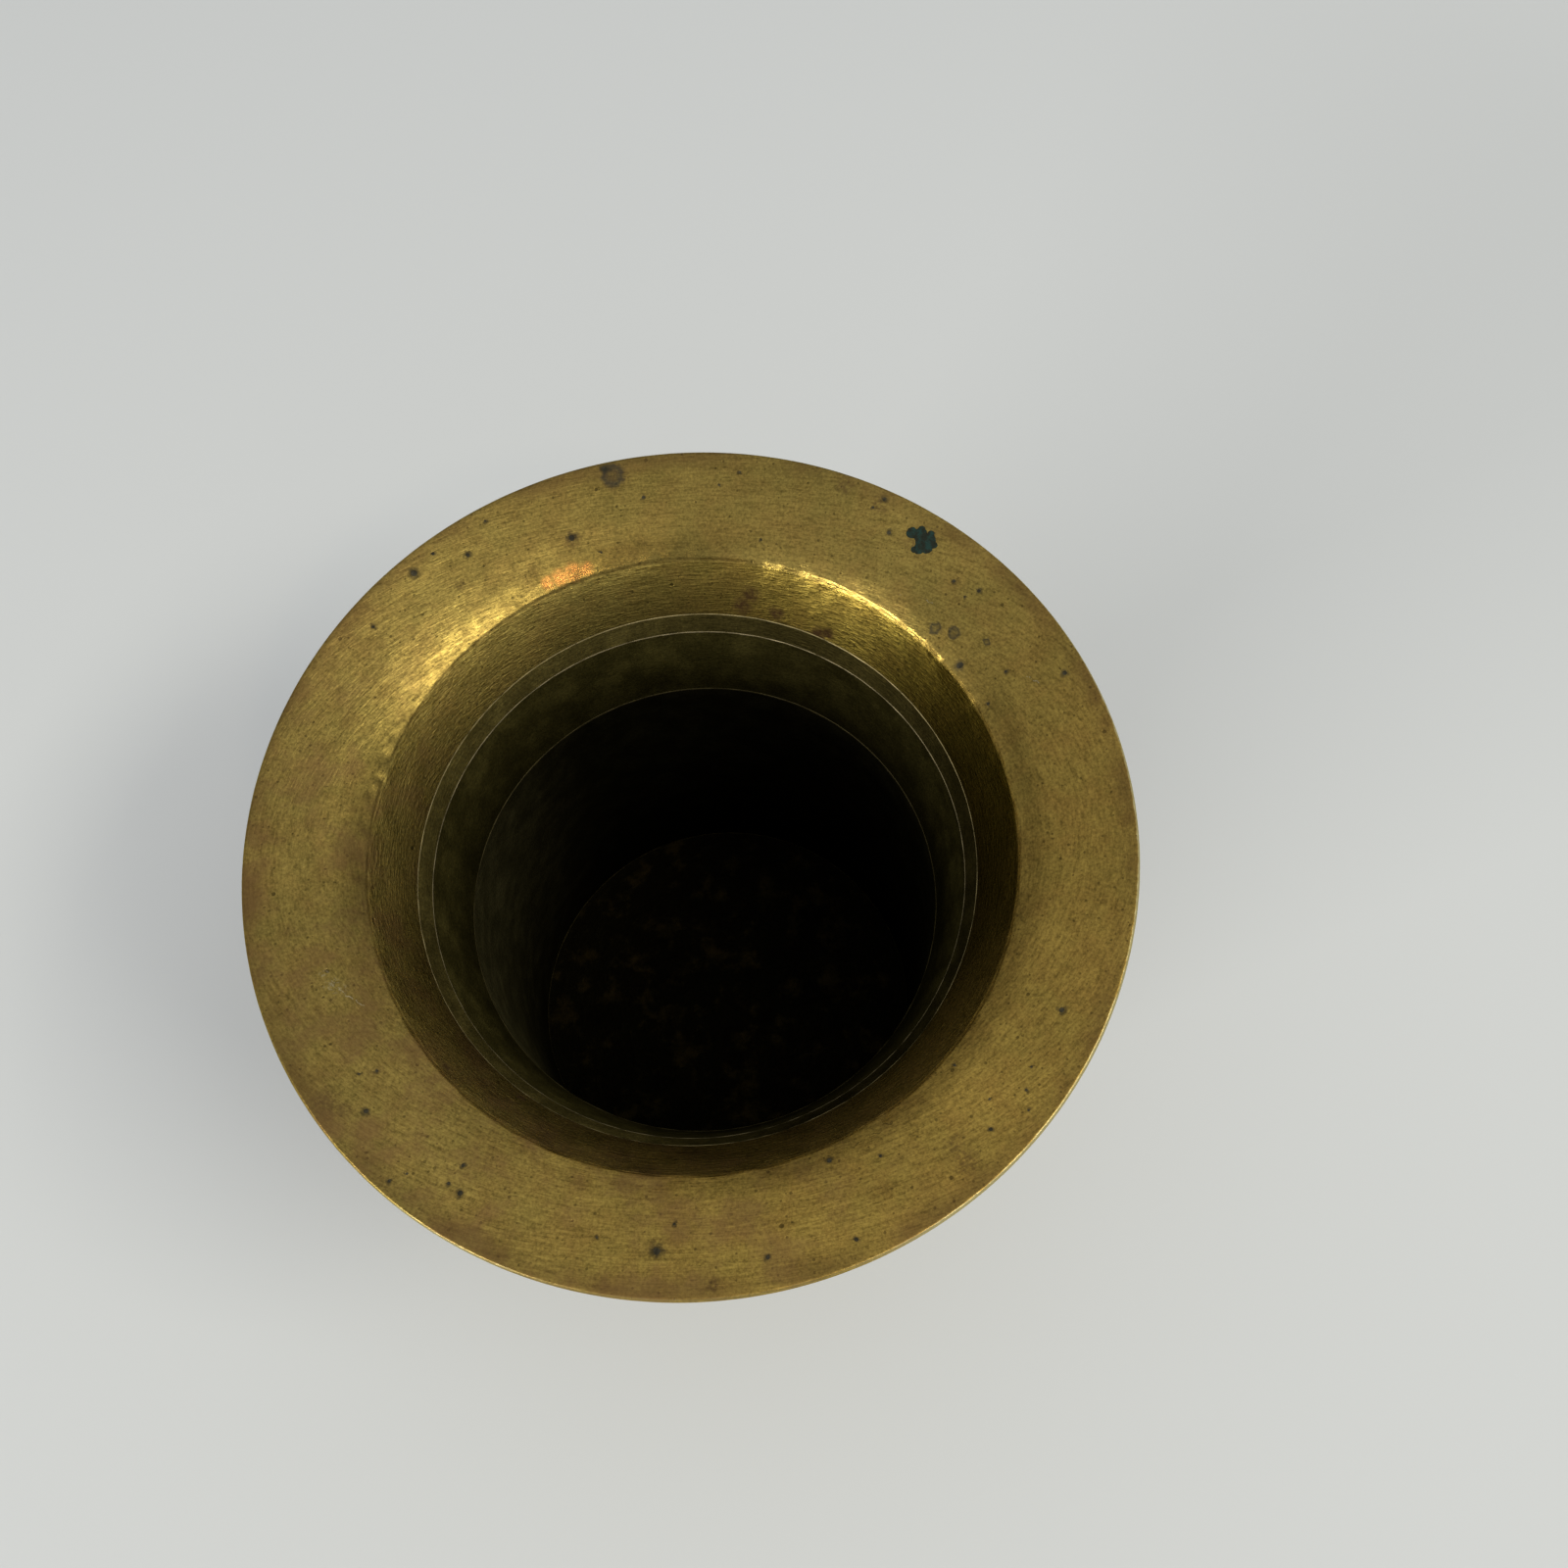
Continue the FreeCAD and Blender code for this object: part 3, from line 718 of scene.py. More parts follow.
def rim_dirt(tree, where, colour):
    """The brown band just inside the rim, where a cloth doesn't reach."""
    band = spread(tree, where.radius, RIM_RADIUS - 3.6, RIM_RADIUS - 1.0)
    band = times(tree, band, spread(tree, where.radius, RIM_RADIUS - 0.2, RIM_RADIUS - 0.5))
    uneven = spread(tree, grain(tree, where.place, 1 / 9, 2.0), 0.32, 0.68, 0.25, 0.85)
    return blend(tree, times(tree, times(tree, band, uneven), 0.55), colour, RIM_DIRT)


def throat_shade(tree, where, colour):
    """The throat with painted shade and light: darker than the lip, darkest at azimuth 0 and darker at
    -50, lighter at the front and on the left, and darker deeper down. Also returns where the throat is.
    """
    tint = THROAT_PAINTED_SHADE
    for azimuth, start, full, amount, side_tint in THROAT_PAINTED_LIGHT_AND_SHADE:
        tint = blend(tree, on_side(tree, where, azimuth, start, full, 0.0, amount), tint, side_tint)
    # Painted shade: darker deeper down the throat.
    deeper = spread(tree, where.radius, MOUTH_SEAM_RADIUS, CREASE[0], 0.52, 1.16, smooth=False)
    tint = vector_calc(tree, "SCALE", tint, scale=deeper)
    throat = spread(tree, where.radius, CREASE[0] - 0.1, CREASE[0] - 0.5)
    return blend(tree, throat, colour, tint, "MULTIPLY"), throat


# %% [markdown]
# ## Dried and worn places
# The marks of the tables go on next, the faint ones first. A noise bends the place before they are
# drawn, so that no spot is a true circle and no scratch is quite straight. Last of all comes the wear:
# the rim and the crease stand out, so hands and pens keep them bright. Beside the crease at the back
# the colour is also lighter as a painted highlight, and one small copper-coloured patch is a painted
# glint.

# %% Spots, stains and scratches
STAIN_BROWN = (0.070, 0.038, 0.020)
DEEP_STAIN = (0.045, 0.021, 0.012)
SPOT_BLACK = (0.040, 0.036, 0.022)
RING_BLACK = (0.045, 0.040, 0.028)
PALE_DUST = (0.50, 0.44, 0.30)


def ragged_edges(tree, place):
    """Patches of 0 and 1 that eat into a mark's outline."""
    return spread(tree, grain(tree, place, 1.6, 3.0, 0.7), 0.36, 0.6)


def dried_marks(tree, where, colour):
    """The marks of the tables. Also returns how much rougher the metal is there, and where it is cut."""
    place = where.place
    wander = add_node(tree, "ShaderNodeTexNoise", {"Vector": place, "Scale": 1.1, "Detail": 3.0})
    bent = vector_calc(tree, "SUBTRACT", wander.outputs["Color"], (0.5, 0.5, 0.5))
    bent = vector_calc(tree, "ADD", place, vector_calc(tree, "SCALE", bent, scale=1.3))
    ragged = ragged_edges(tree, place)
    stains = times(tree, nearest_of(tree, bent, BROWN_STAINS, 0.55), ragged)
    deep_stains = nearest_of(tree, bent, THROAT_STAINS, 0.6)
    deep_stains = times(tree, deep_stains, spread(tree, ragged, 0.0, 1.0, 0.55, 1.0))
    spots = nearest_of(tree, bent, DARK_SPOTS, 0.45)
    holes = nearest_of(tree, bent, RING_HOLES, 0.5)
    rings = calc(
        tree, "SUBTRACT", nearest_of(tree, bent, RINGS, 0.25), times(tree, holes, 0.65), clamp=True
    )
    dust = spread(tree, grain(tree, place, 2.6, 2.0, 0.6), 0.5, 0.62, 0.0, 0.6)
    pale = times(tree, nearest_of(tree, bent, PALE_MARKS, 0.6), dust)
    pale = calc(tree, "MAXIMUM", pale, scratches(tree, bent, PALE_SCRATCHES))
    dark_lines = scratches(tree, bent, DARK_SCRATCHES)
    for marks, strength, paint in (
        (stains, 0.5, STAIN_BROWN),
        (deep_stains, 0.8, DEEP_STAIN),
        (spots, 0.66, SPOT_BLACK),
        (rings, 0.8, RING_BLACK),
        (pale, 0.55, PALE_DUST),
        (dark_lines, 0.75, SOOT),
    ):
        colour = blend(tree, times(tree, marks, strength), colour, paint)
    rougher = calc(tree, "MAXIMUM", spots, times(tree, stains, 0.5))
    rougher = calc(tree, "MAXIMUM", rougher, deep_stains)
    return colour, rougher, calc(tree, "MAXIMUM", dark_lines, spots)


# %% Wear on the rim and the crease
WORN_GOLD = (0.56, 0.49, 0.25)
# The colour of the painted orange glint.
GLINT_COPPER = (0.66, 0.29, 0.075)


def worn_rim(tree, where, colour):
    """The edge of the rim is worn bright, most of all on the golden side."""
    worn_from = on_side(tree, where, GOLDEN_SIDE, -0.4, 0.7, RIM_RADIUS - 0.22, RIM_RADIUS - 0.5)
    worn_from = plus(tree, worn_from, grain(tree, where.place, 0.8, 2.0), 0.3)
    worn = spread(tree, calc(tree, "SUBTRACT", where.radius, worn_from), -0.12, 0.1)
    worn = times(tree, worn, on_side(tree, where, GOLDEN_SIDE, -0.95, 0.1, 0.1, 0.85))
    worn = times(tree, worn, on_side(tree, where, FRONT, 0.86, 0.97, 1.0, 0.2))
    return blend(tree, worn, colour, WORN_GOLD)


def rubbed_crease_and_glints(tree, where, colour, rough):
    """The crease is worn clean and smoother by whatever goes into the cup. At the back its colour is
    also lighter as a painted highlight, and one patch is copper-coloured as a painted glint.
    """
    from_crease = calc(tree, "ABSOLUTE", calc(tree, "SUBTRACT", where.radius, CREASE[0] + 0.1))
    # Painted highlight, partly real wear: lighter and smoother beside the crease at the back.
    rubbed_and_lit = times(tree, spread(tree, from_crease, 2.0, 0.1), on_side(tree, where, BACK, 0.1, 0.8))
    lighter = vector_calc(tree, "SCALE", colour, scale=1.75)
    colour = blend(tree, times(tree, rubbed_and_lit, 0.7), colour, lighter)
    rough = plus(tree, rough, rubbed_and_lit, -0.13)
    ragged = spread(tree, ragged_edges(tree, where.place), 0.0, 1.0, 0.35, 1.0)
    # Painted glint: a copper-coloured, smoother patch.
    copper_glint = times(tree, nearest_of(tree, where.place, GLINT_PATCHES, 0.6), ragged)
    colour = blend(tree, times(tree, copper_glint, 0.8), colour, GLINT_COPPER)
    return colour, plus(tree, rough, copper_glint, -0.12)


def lip_marks(tree, where, colour, rough, relief):
    """All that has happened to the lip and throat, with the painted shade, highlight and glint on them.
    The strokes cut deeper in the throat.
    """
    colour = lip_tones_and_painted_shade(tree, where, colour)
    colour = rim_dirt(tree, where, colour)
    colour, throat = throat_shade(tree, where, colour)
    colour, rougher, cut = dried_marks(tree, where, colour)
    colour = worn_rim(tree, where, colour)
    colour, rough = rubbed_crease_and_glints(tree, where, colour, rough)
    rough = plus(tree, rough, rougher, 0.3)
    relief = times(tree, relief, spread(tree, throat, 0.0, 1.0, 1.0, 1.8))
    return colour, rough, plus(tree, relief, cut, -0.8)


# %% [markdown]
# ## The brass of each piece
# The lip is the most handled, so it is the cleanest. The outside of the other pieces has brown stains,
# most of them low down, and freckles of dirt. Their inside has never been polished, so it is dark, and
# painted shade makes it darker deeper in the cup and on the side that the light doesn't reach. The floor
# is painted nearly black, dried ink together with painted shade, and has a little rust in it.

# %% Brass finishes
STAINED_BRASS = (0.120, 0.070, 0.026)
INK_AND_SHADE = (0.002, 0.002, 0.001)
RUST = (0.040, 0.027, 0.007)
DRIED_INK = (0.014, 0.011, 0.004)


def outside_marks(tree, where, colour, rough, relief):
    """Brown stains, most of them low down, and freckles of dirt."""
    stains = spread(tree, grain(tree, where.place, 1 / 9, 4.0, 0.6), 0.50, 0.66)
    stains = times(tree, stains, spread(tree, where.height, 45.0, 12.0, 0.25, 0.65))
    freckles = pits(tree, where.place, 5.0, 0.3, 0.6)
    colour = blend(tree, stains, colour, STAINED_BRASS)
    colour = blend(tree, times(tree, freckles, 0.7), colour, SOOT)
    return colour, plus(tree, rough, stains, 0.12), plus(tree, relief, freckles, -1.0)


def floor_marks(tree, where, colour, rough, relief):
    """Years of ink, dust and damp on the floor of the well. Its near-black colour is ink with painted
    shade.
    """
    crust = spread(tree, grain(tree, where.place, 1 / 2.2, 4.0, 0.65), 0.5, 0.64)
    rust = spread(tree, grain(tree, where.place, 1 / 6.0, 4.0, 0.65), 0.50, 0.68)
    # Painted shade and ink: the floor is nearly black.
    colour = blend(tree, 0.99, colour, INK_AND_SHADE)
    colour = blend(tree, times(tree, rust, 0.8), colour, RUST)
    colour = blend(tree, times(tree, crust, 0.3), colour, DRIED_INK)
    return colour, calc(tree, "ADD", rough, 0.25), plus(tree, relief, crust, 3.0)


def inside_with_shade(clean, far_side, far_azimuth=53, low=0.0, high=1.0, least=1.0):
    """An inside colour with painted shade: clean at the high height, darker down to a least share of it
    at the low one, and a far_side share of it at the far azimuth, which the light doesn't reach."""

    def colour_at(tree, where):
        """The colour at each point of one finish's tree."""
        share = spread(tree, where.height, low, high, least, 1.0)
        share = times(tree, share, on_side(tree, where, far_azimuth, -0.5, 0.4, 1.0, far_side))
        return vector_calc(tree, "SCALE", clean, scale=share)

    return colour_at


collar_inside_with_shade = inside_with_shade((0.156, 0.124, 0.036), 0.25, 0)
neck_inside_with_shade = inside_with_shade((0.133, 0.110, 0.030), 0.38, -15, NECK_LOW, NECK_HIGH, 0.30)
well_inside_with_shade = inside_with_shade((0.090, 0.078, 0.032), 0.2, 53, FLOOR_HEIGHT, NECK_LOW, 0.16)
lip_brass = brass_finish("lip brass", 0.55, 0.36, extra=lip_marks, oval=0.75)
collar_brass = brass_finish("collar brass", 0.7, 0.32, collar_inside_with_shade, outside_marks)
neck_brass = brass_finish("neck brass", 0.7, 0.34, neck_inside_with_shade, outside_marks)
body_brass = brass_finish("body brass", 0.6, 0.30, well_inside_with_shade, outside_marks)
foot_brass = brass_finish("foot brass", 0.65, 0.30, extra=outside_marks)
floor_brass = brass_finish("floor brass", 0.8, 0.45, extra=floor_marks)

# %% [markdown]
# ## Braze, felt and crust
# Silver braze stays paler than brass. Dirt over parts of it breaks the rings into long bright dashes,
# and the near side is darker. The deeper a seam is, the darker its colour. Felt is wool: a fuzzy green
# with thin places. The crust of a dried drop is nearly black, and the big one is blue-green verdigris.

# %% The other finishes
BRAZE_DIRT = (0.060, 0.047, 0.016)
FELT_DEPTH = 0.15
CRUMB_DEPTH = 0.08


def braze_finish(name, bright, least_dark):
    """Silver braze of that bright colour. least_dark, from 0 to 1, is how dark its lightest stretch is.
    """
    material, tree, shader = new_finish(name)
    where = round_the_axis(tree)
    dirt = spread(tree, grain(tree, where.place, 1 / 2.2, 4.0, 0.7), 0.42, 0.70)
    dirt = calc(tree, "MAXIMUM", dirt, on_side(tree, where, -75, -0.6, 0.5, least_dark, 0.80))
    dirt = calc(tree, "MAXIMUM", dirt, kept_number(tree, "grime"))
    colour = blend(tree, times(tree, dirt, 0.95), bright, BRAZE_DIRT)
    tree.links.new(colour, shader.inputs["Base Color"])
    tree.links.new(spread(tree, dirt, 0.0, 1.0, 0.42, 0.6), shader.inputs["Roughness"])
    shader.inputs["Metallic"].default_value = 0.7
    shader.inputs["Specular Tint"].default_value = BRASS_GLANCE
    return material


def felt_finish(name):
    """Green wool felt, worn thin in places."""
    material, tree, shader = new_finish(name)
    place = round_the_axis(tree).place
    wool = grain(tree, place, 1 / 0.5, 4.0, 0.7)
    thin = spread(tree, grain(tree, place, 1 / 8, 2.0), 0.3, 0.7)
    colour = blend(tree, wool, (0.020, 0.050, 0.030), (0.075, 0.135, 0.085))
    colour = blend(tree, times(tree, thin, 0.25), colour, (0.10, 0.12, 0.08))
    tree.links.new(colour, shader.inputs["Base Color"])
    shader.inputs["Roughness"].default_value = 0.95
    shader.inputs["Sheen Weight"].default_value = 0.35
    add_bump(tree, shader, wool, FELT_DEPTH)
    return material


def crust_finish(name, dry, damp):
    """Dried dirt or verdigris: nearly black, with the damp colour where it is thick."""
    material, tree, shader = new_finish(name)
    place = round_the_axis(tree).place
    thick = spread(tree, grain(tree, place, 1 / 0.9, 3.0, 0.65), 0.42, 0.66)
    crumbs = grain(tree, place, 1 / 0.22, 3.0, 0.7)
    tree.links.new(blend(tree, thick, dry, damp), shader.inputs["Base Color"])
    shader.inputs["Roughness"].default_value = 0.7
    shader.inputs["Specular IOR Level"].default_value = 0.06
    add_bump(tree, shader, crumbs, CRUMB_DEPTH)
    return material


golden_braze = braze_finish("golden braze", (0.88, 0.72, 0.36), 0.0)
silver_braze = braze_finish("silver braze", (0.66, 0.55, 0.33), 0.0)
dull_braze = braze_finish("dull braze", (0.040, 0.034, 0.021), 0.5)
worn_braze = braze_finish("worn braze", (0.30, 0.25, 0.13), 0.3)
black_braze = braze_finish("black braze", (0.05, 0.04, 0.02), 1.0)
pad_felt = felt_finish("pad felt")
verdigris = crust_finish("verdigris", (0.016, 0.019, 0.013), (0.015, 0.036, 0.030))
dried_dirt = crust_finish("dried dirt", (0.026, 0.023, 0.014), (0.058, 0.050, 0.030))
print(len(bpy.data.materials), "materials, with the ones that came with the solids")

# %% [markdown]
# ## The mouth
# The lip and throat are one sheet, spun over a former. Seen in section the lip falls gently from the
# rim, steepens over a soft bend, turns down hard at the crease and runs to its lower end, which was
# trimmed true on the lathe to fit the collar. The crease was closed by hand, so it wanders a little.

# %% Mouth flare
WALL = 1.3
crease_radius, crease_height = CREASE
bend_radius, bend_height = LIP_BEND
mouth_section = [
    (MOUTH_SEAM_RADIUS, THROAT_END, 0.0, 0.0, 0.0),
    (THROAT_SPIGOT, THROAT_END, 0.0, 0.0, 0.0),
    (THROAT_SPIGOT, THROAT_END + 2.0, 0.0, 0.7, 0.0),
    (crease_radius + 0.35 * WALL, crease_height - 1.75 * WALL, 1.5, 0.3, 0.5),
    (crease_radius + 1.3 * WALL, crease_height - 0.72 * WALL, 2.5, 0.15, 0.8),
    (crease_radius + 2.6 * WALL, crease_height + 0.02 * WALL, 3.0, 0.1, 0.8),
    (bend_radius + 0.3 * WALL, bend_height - WALL, 8.0, 0.1, 0.5),
    (RIM_RADIUS - 0.15, RIM_HEIGHT - 1.2, 0.45, 0.1, 0.25),
    (RIM_RADIUS, RIM_HEIGHT - 0.62, 0.5, 0.0, 0.25),
    (RIM_RADIUS - 0.32, RIM_HEIGHT - 0.07, 0.35, 0.0, 0.25),
    (RIM_RADIUS - 1.0, RIM_HEIGHT - 0.25, 1.2, 0.0, 0.25),
    (bend_radius + 0.6, bend_height + 0.12, 12.0, 0.0, 0.5),
    (crease_radius + 2.6, crease_height + 1.62, 9.0, 0.0, 0.8),
    (crease_radius, crease_height, 0.8, 0.0, 2.6),
    (MOUTH_SEAM_RADIUS + 1.2, THROAT_END + 1.9, 6.0, 0.0, 0.3),
]
mouth = turn_piece(
    "mouth_lip", mouth_section, lip_brass, around=640, step=0.55,
    out_of_round=0.25, hand_marks=0.16, mark_length=4.2, seed=3.7,
)

# %% [markdown]
# ## Nicks in the crease
# The crease is the edge that pens and paper knives knock against. Each nick is a small bowl pressed
# into the sheet: the points near it move in along their normals, most of all at the middle.

# %% Nicks
NICKS = [
    (-58.0, 45.2, 1.0, 0.30), (140.3, 44.7, 0.55, 0.12), (134.6, 44.7, 0.6, 0.16),
    (36.0, 45.1, 0.8, 0.12), (-110.0, 45.2, 0.8, 0.15), (166.0, 45.1, 0.9, 0.16),
    (58.5, 45.6, 0.9, 0.12), (-20.0, 45.2, 0.8, 0.12),
]


def press_nicks(piece, nicks):
    """Presses each nick, an (angle, radius, size, depth), into the piece."""
    moved = 0
    for angle, radius, size, depth in nicks:
        middle = on_lip(angle, radius) * MM
        for vertex in piece.data.vertices:
            share = (vertex.co - middle).length / (size * MM)
            if share < 1:
                vertex.co -= vertex.normal * depth * MM * (1 - share**2) ** 2
                moved += 1
    print("nicks moved", moved, "points")


press_nicks(mouth, NICKS)

# %% [markdown]
# ## Verdigris and dried spots
# Where a drop dried on the brass it left a crust that stands a little proud. A second tree grows
# these on the lip: a ball for each spot, its outline made ragged by noise, dropped onto the metal by a
# ray from above and flattened along the metal's own normal. The big blue-green one is several lumps
# grown together.

# %% The crust tree
OUTLINE_SCALE = 1.9
LUMP_SCALE = 3.1
SUNK_SHARE = 0.4
RAY_START = 10
RAY_LENGTH = 40


def make_crust():
    """The tree that grows a crust of a given finish at each of its spots."""
    tree = bpy.data.node_groups.new("Crust", "GeometryNodeTree")
    given = tree_inputs(
        tree,
        [
            ("Spots", "Object"),
            ("Detail", "Int"),
            ("Thickness", "Float"),
            ("Ragged", "Float"),
            ("Seed", "Float"),
            ("Finish", "Material"),
        ],
    )
    ground = given["Geometry"]
    position = tree.nodes.new("GeometryNodeInputPosition").outputs[0]
    spots = add_node(
        tree, "GeometryNodeObjectInfo", {"Object": given["Spots"]}, transform_space="ORIGINAL"
    ).outputs["Geometry"]
    ball = add_node(tree, "GeometryNodeMeshIcoSphere", {"Radius": 1.0, "Subdivisions": given["Detail"]})
    ball = store(tree, ball.outputs[0], "on_ball", position, "FLOAT_VECTOR")
    size = recall(tree, "size")
    placed = add_node(
        tree, "GeometryNodeInstanceOnPoints", {"Points": spots, "Instance": ball, "Scale": size}
    )
    balls = add_node(tree, "GeometryNodeRealizeInstances", {"Geometry": placed.outputs[0]}).outputs[0]

    on_ball = recall(tree, "on_ball", "FLOAT_VECTOR")
    middle = vector_calc(tree, "SUBTRACT", position, vector_calc(tree, "SCALE", on_ball, scale=size))
    noise_place = vector_calc(tree, "SCALE", position, scale=1 / MM)
    noise_place = vector_calc(tree, "ADD", noise_place, combine(tree, given["Seed"], 0.0, 0.0))
    wander = calc(tree, "SUBTRACT", grain(tree, noise_place, OUTLINE_SCALE, 3.0, 0.7), 0.5)
    reach = plus(tree, 1.0, wander, given["Ragged"])
    out = vector_calc(tree, "MULTIPLY", on_ball, (1, 1, 0))
    out = vector_calc(tree, "SCALE", out, scale=times(tree, size, reach))
    above = vector_calc(tree, "ADD", vector_calc(tree, "ADD", middle, out), (0.0, 0.0, RAY_START * MM))
    ray = add_node(
        tree,
        "GeometryNodeRaycast",
        {
            "Target Geometry": ground,
            "Source Position": above,
            "Ray Direction": (0.0, 0.0, -1.0),
            "Ray Length": RAY_LENGTH * MM,
        },
    )
    up = add_node(tree, "ShaderNodeSeparateXYZ", {0: on_ball}).outputs["Z"]
    lumps = grain(tree, noise_place, LUMP_SCALE, 3.0, 0.6)
    lumps = spread(tree, lumps, 0.3, 0.7, 0.45, 1.5, smooth=False)
    proud = times(tree, calc(tree, "MAXIMUM", up, 0.0), lumps)
    shape = plus(tree, proud, calc(tree, "MINIMUM", up, 0.0), SUNK_SHARE)
    rise = times(tree, shape, times(tree, size, given["Thickness"]))
    lift = vector_calc(tree, "SCALE", ray.outputs["Hit Normal"], scale=rise)
    landed = vector_calc(tree, "ADD", ray.outputs["Hit Position"], lift)
    grown = add_node(tree, "GeometryNodeSetPosition", {"Geometry": balls, "Position": landed})
    grown = store(tree, grown.outputs[0], "crust", 1.0)
    both = add_node(tree, "GeometryNodeJoinGeometry")
    tree.links.new(grown, both.inputs[0])
    tree.links.new(ground, both.inputs[0])
    finish_tree(tree, both.outputs[0], given["Finish"], recall(tree, "crust"))
    return tree


# %% Crust on the lip
BIG_CRUST = [
    (52.6, 56.1, 1.05), (51.1, 56.1, 1.00), (50.7, 55.1, 0.90), (51.6, 54.4, 0.80),
    (53.9, 55.8, 0.80), (52.2, 55.3, 0.60), (52.9, 56.9, 0.50), (51.4, 57.0, 0.50),
    (52.2, 53.9, 0.45), (50.0, 55.9, 0.50),
]
SPOT_CRUST_SHARE = 0.5


def grow_crust(piece, spots, finish, detail, thickness, ragged, seed):
    """The piece with these spots of (angle, radius, size) grown on it."""
    mesh = bpy.data.meshes.new("spots")
    mesh.from_pydata([on_lip(angle, radius) * MM for angle, radius, _ in spots], [], [])
    layer = mesh.attributes.new("size", "FLOAT", "POINT")
    layer.data.foreach_set("value", [size * MM for _, _, size in spots])
    points = bpy.data.objects.new("spots", mesh)
    bpy.context.scene.collection.objects.link(points)
    values = {
        "Spots": points,
        "Detail": detail,
        "Thickness": thickness,
        "Ragged": ragged,
        "Seed": seed,
        "Finish": finish,
    }
    name = piece.name
    piece.name = name + "_bare"
    grown = run_tree(crust, piece, name, values)
    bpy.data.objects.remove(points)
    grown.data.attributes.remove(grown.data.attributes["crust"])
    print(f"{name}: {triangles(grown)} triangles with its crust")
    return grown


crust = make_crust()
mouth = grow_crust(mouth, BIG_CRUST, verdigris, detail=4, thickness=0.16, ragged=0.55, seed=1.3)
small_spots = [(angle, radius, SPOT_CRUST_SHARE * size) for angle, radius, size in DARK_SPOTS]
mouth = grow_crust(mouth, small_spots, dried_dirt, detail=3, thickness=0.12, ragged=1.0, seed=6.4)
stands_for(mouth, "lip_brass", "mouth_flare")

# %% [markdown]
# ## Collar, neck and body
# These are turned true, so they get no hand marks. Each one keeps the socket and spigot of the CAD
# solid, and every free edge has a small bend. The collar carries the throat above and the neck below,
# with an inner rib between them, as thick as the gap less a seam of braze at each end. Its bead is the
# ring that one would hold.

# %% Collar
SEAM = 0.3
BEAD = 2.1
BEAD_STEP = 15
RIB_HIGH = THROAT_END - SEAM
RIB_LOW = NECK_HIGH + SEAM
bead_middle = (COLLAR_LOW + COLLAR_HIGH) / 2
bead = []
for degrees in range(-90, 91, BEAD_STEP):
    turn = math.radians(degrees)
    bead_radius = COLLAR_RADIUS - BEAD + BEAD * math.cos(turn)
    bead_grime = 0.5 if abs(degrees) == 90 else 0.0
    bead.append((bead_radius, bead_middle + BEAD * math.sin(turn), 0.0, bead_grime))
collar_section = [
    (NECK_SEAM_RADIUS, RIB_LOW),
    (NECK_SPIGOT + SOCKET_GAP, RIB_LOW),
    (NECK_SPIGOT + SOCKET_GAP, COLLAR_LOW),
    (42.1, COLLAR_LOW, 0.25, 0.3),
    (COLLAR_RADIUS - 2.5, bead_middle - 2.25, 0.4, 0.9),
    *bead,
    (COLLAR_RADIUS - 2.5, bead_middle + 2.25, 0.4, 0.9),
    (44.2, COLLAR_HIGH, 0.25, 0.3),
    (THROAT_SPIGOT + SOCKET_GAP, COLLAR_HIGH),
    (THROAT_SPIGOT + SOCKET_GAP, RIB_HIGH),
    (MOUTH_SEAM_RADIUS, RIB_HIGH),
]
collar = turn_piece("collar", collar_section, collar_brass)
stands_for(collar, "neck_brass", "neck_collar")

# %% Neck cone
neck_section = [
    (WELL_RADIUS, NECK_LOW, 0.0, 0.4),
    (FOOT_SPIGOT, NECK_LOW),
    (FOOT_SPIGOT, NECK_LOW + 3.4, 0.0, 0.5),
    (NECK_SPIGOT - 0.45, NECK_HIGH - 3.0, 1.5, 0.2),
    (NECK_SPIGOT, NECK_HIGH - 2.3),
    (NECK_SPIGOT, NECK_HIGH),
    (NECK_SEAM_RADIUS, NECK_HIGH),
]
neck = turn_piece("neck", neck_section, neck_brass)
stands_for(neck, "neck_brass", "neck_cone")

# %% [markdown]
# The body is a length of drawn tube. Two groups of fine lines were cut round it in the lathe, and
# dirt has stayed in them, so each line's bottom carries grime.

# %% Body tube
LINE_DEPTH = 0.35
LINE_HALF = 0.45


def turned_lines(lowest, count=3, spacing=2.0):
    """Points up the outside of the tube that cut V lines into it."""
    points = []
    for i in range(count):
        middle = lowest + i * spacing
        points += [
            (TUBE_RADIUS, middle - LINE_HALF, 0.15, 0.1),
            (TUBE_RADIUS - LINE_DEPTH, middle, 0.1, 1.0),
            (TUBE_RADIUS, middle + LINE_HALF, 0.15, 0.1),
        ]
    return points


shoulder = NECK_LOW - 0.45
tube_section = [
    (WELL_RADIUS, TUBE_LOW, 0.0, 0.6),
    (TUBE_RADIUS, TUBE_LOW),
    *turned_lines(17.5),
    (TUBE_RADIUS, 42.0),
    *turned_lines(66.0),
    (TUBE_RADIUS, shoulder - 3.2, 1.6, 0.25),
    (BAND_RADIUS, shoulder - 1.0, 0.6, 0.0),
    (BAND_RADIUS, TUBE_HIGH, 0.3, 0.0),
    (FOOT_SPIGOT + SOCKET_GAP, TUBE_HIGH, 0.1, 0.6),
    (FOOT_SPIGOT + SOCKET_GAP, shoulder),
    (WELL_RADIUS, shoulder, 0.0, 0.5),
]
tube = turn_piece("body", tube_section, body_brass, around=288, step=2.0)
stands_for(tube, "body_brass", "body_tube")

# %% [markdown]
# ## Floor and foot
# The floor is a disc brazed to the end of the tube. Its upper side is rough with dried ink and
# corrosion. The foot is a turned moulding: a band, a hollow (a cove) and a small bead.

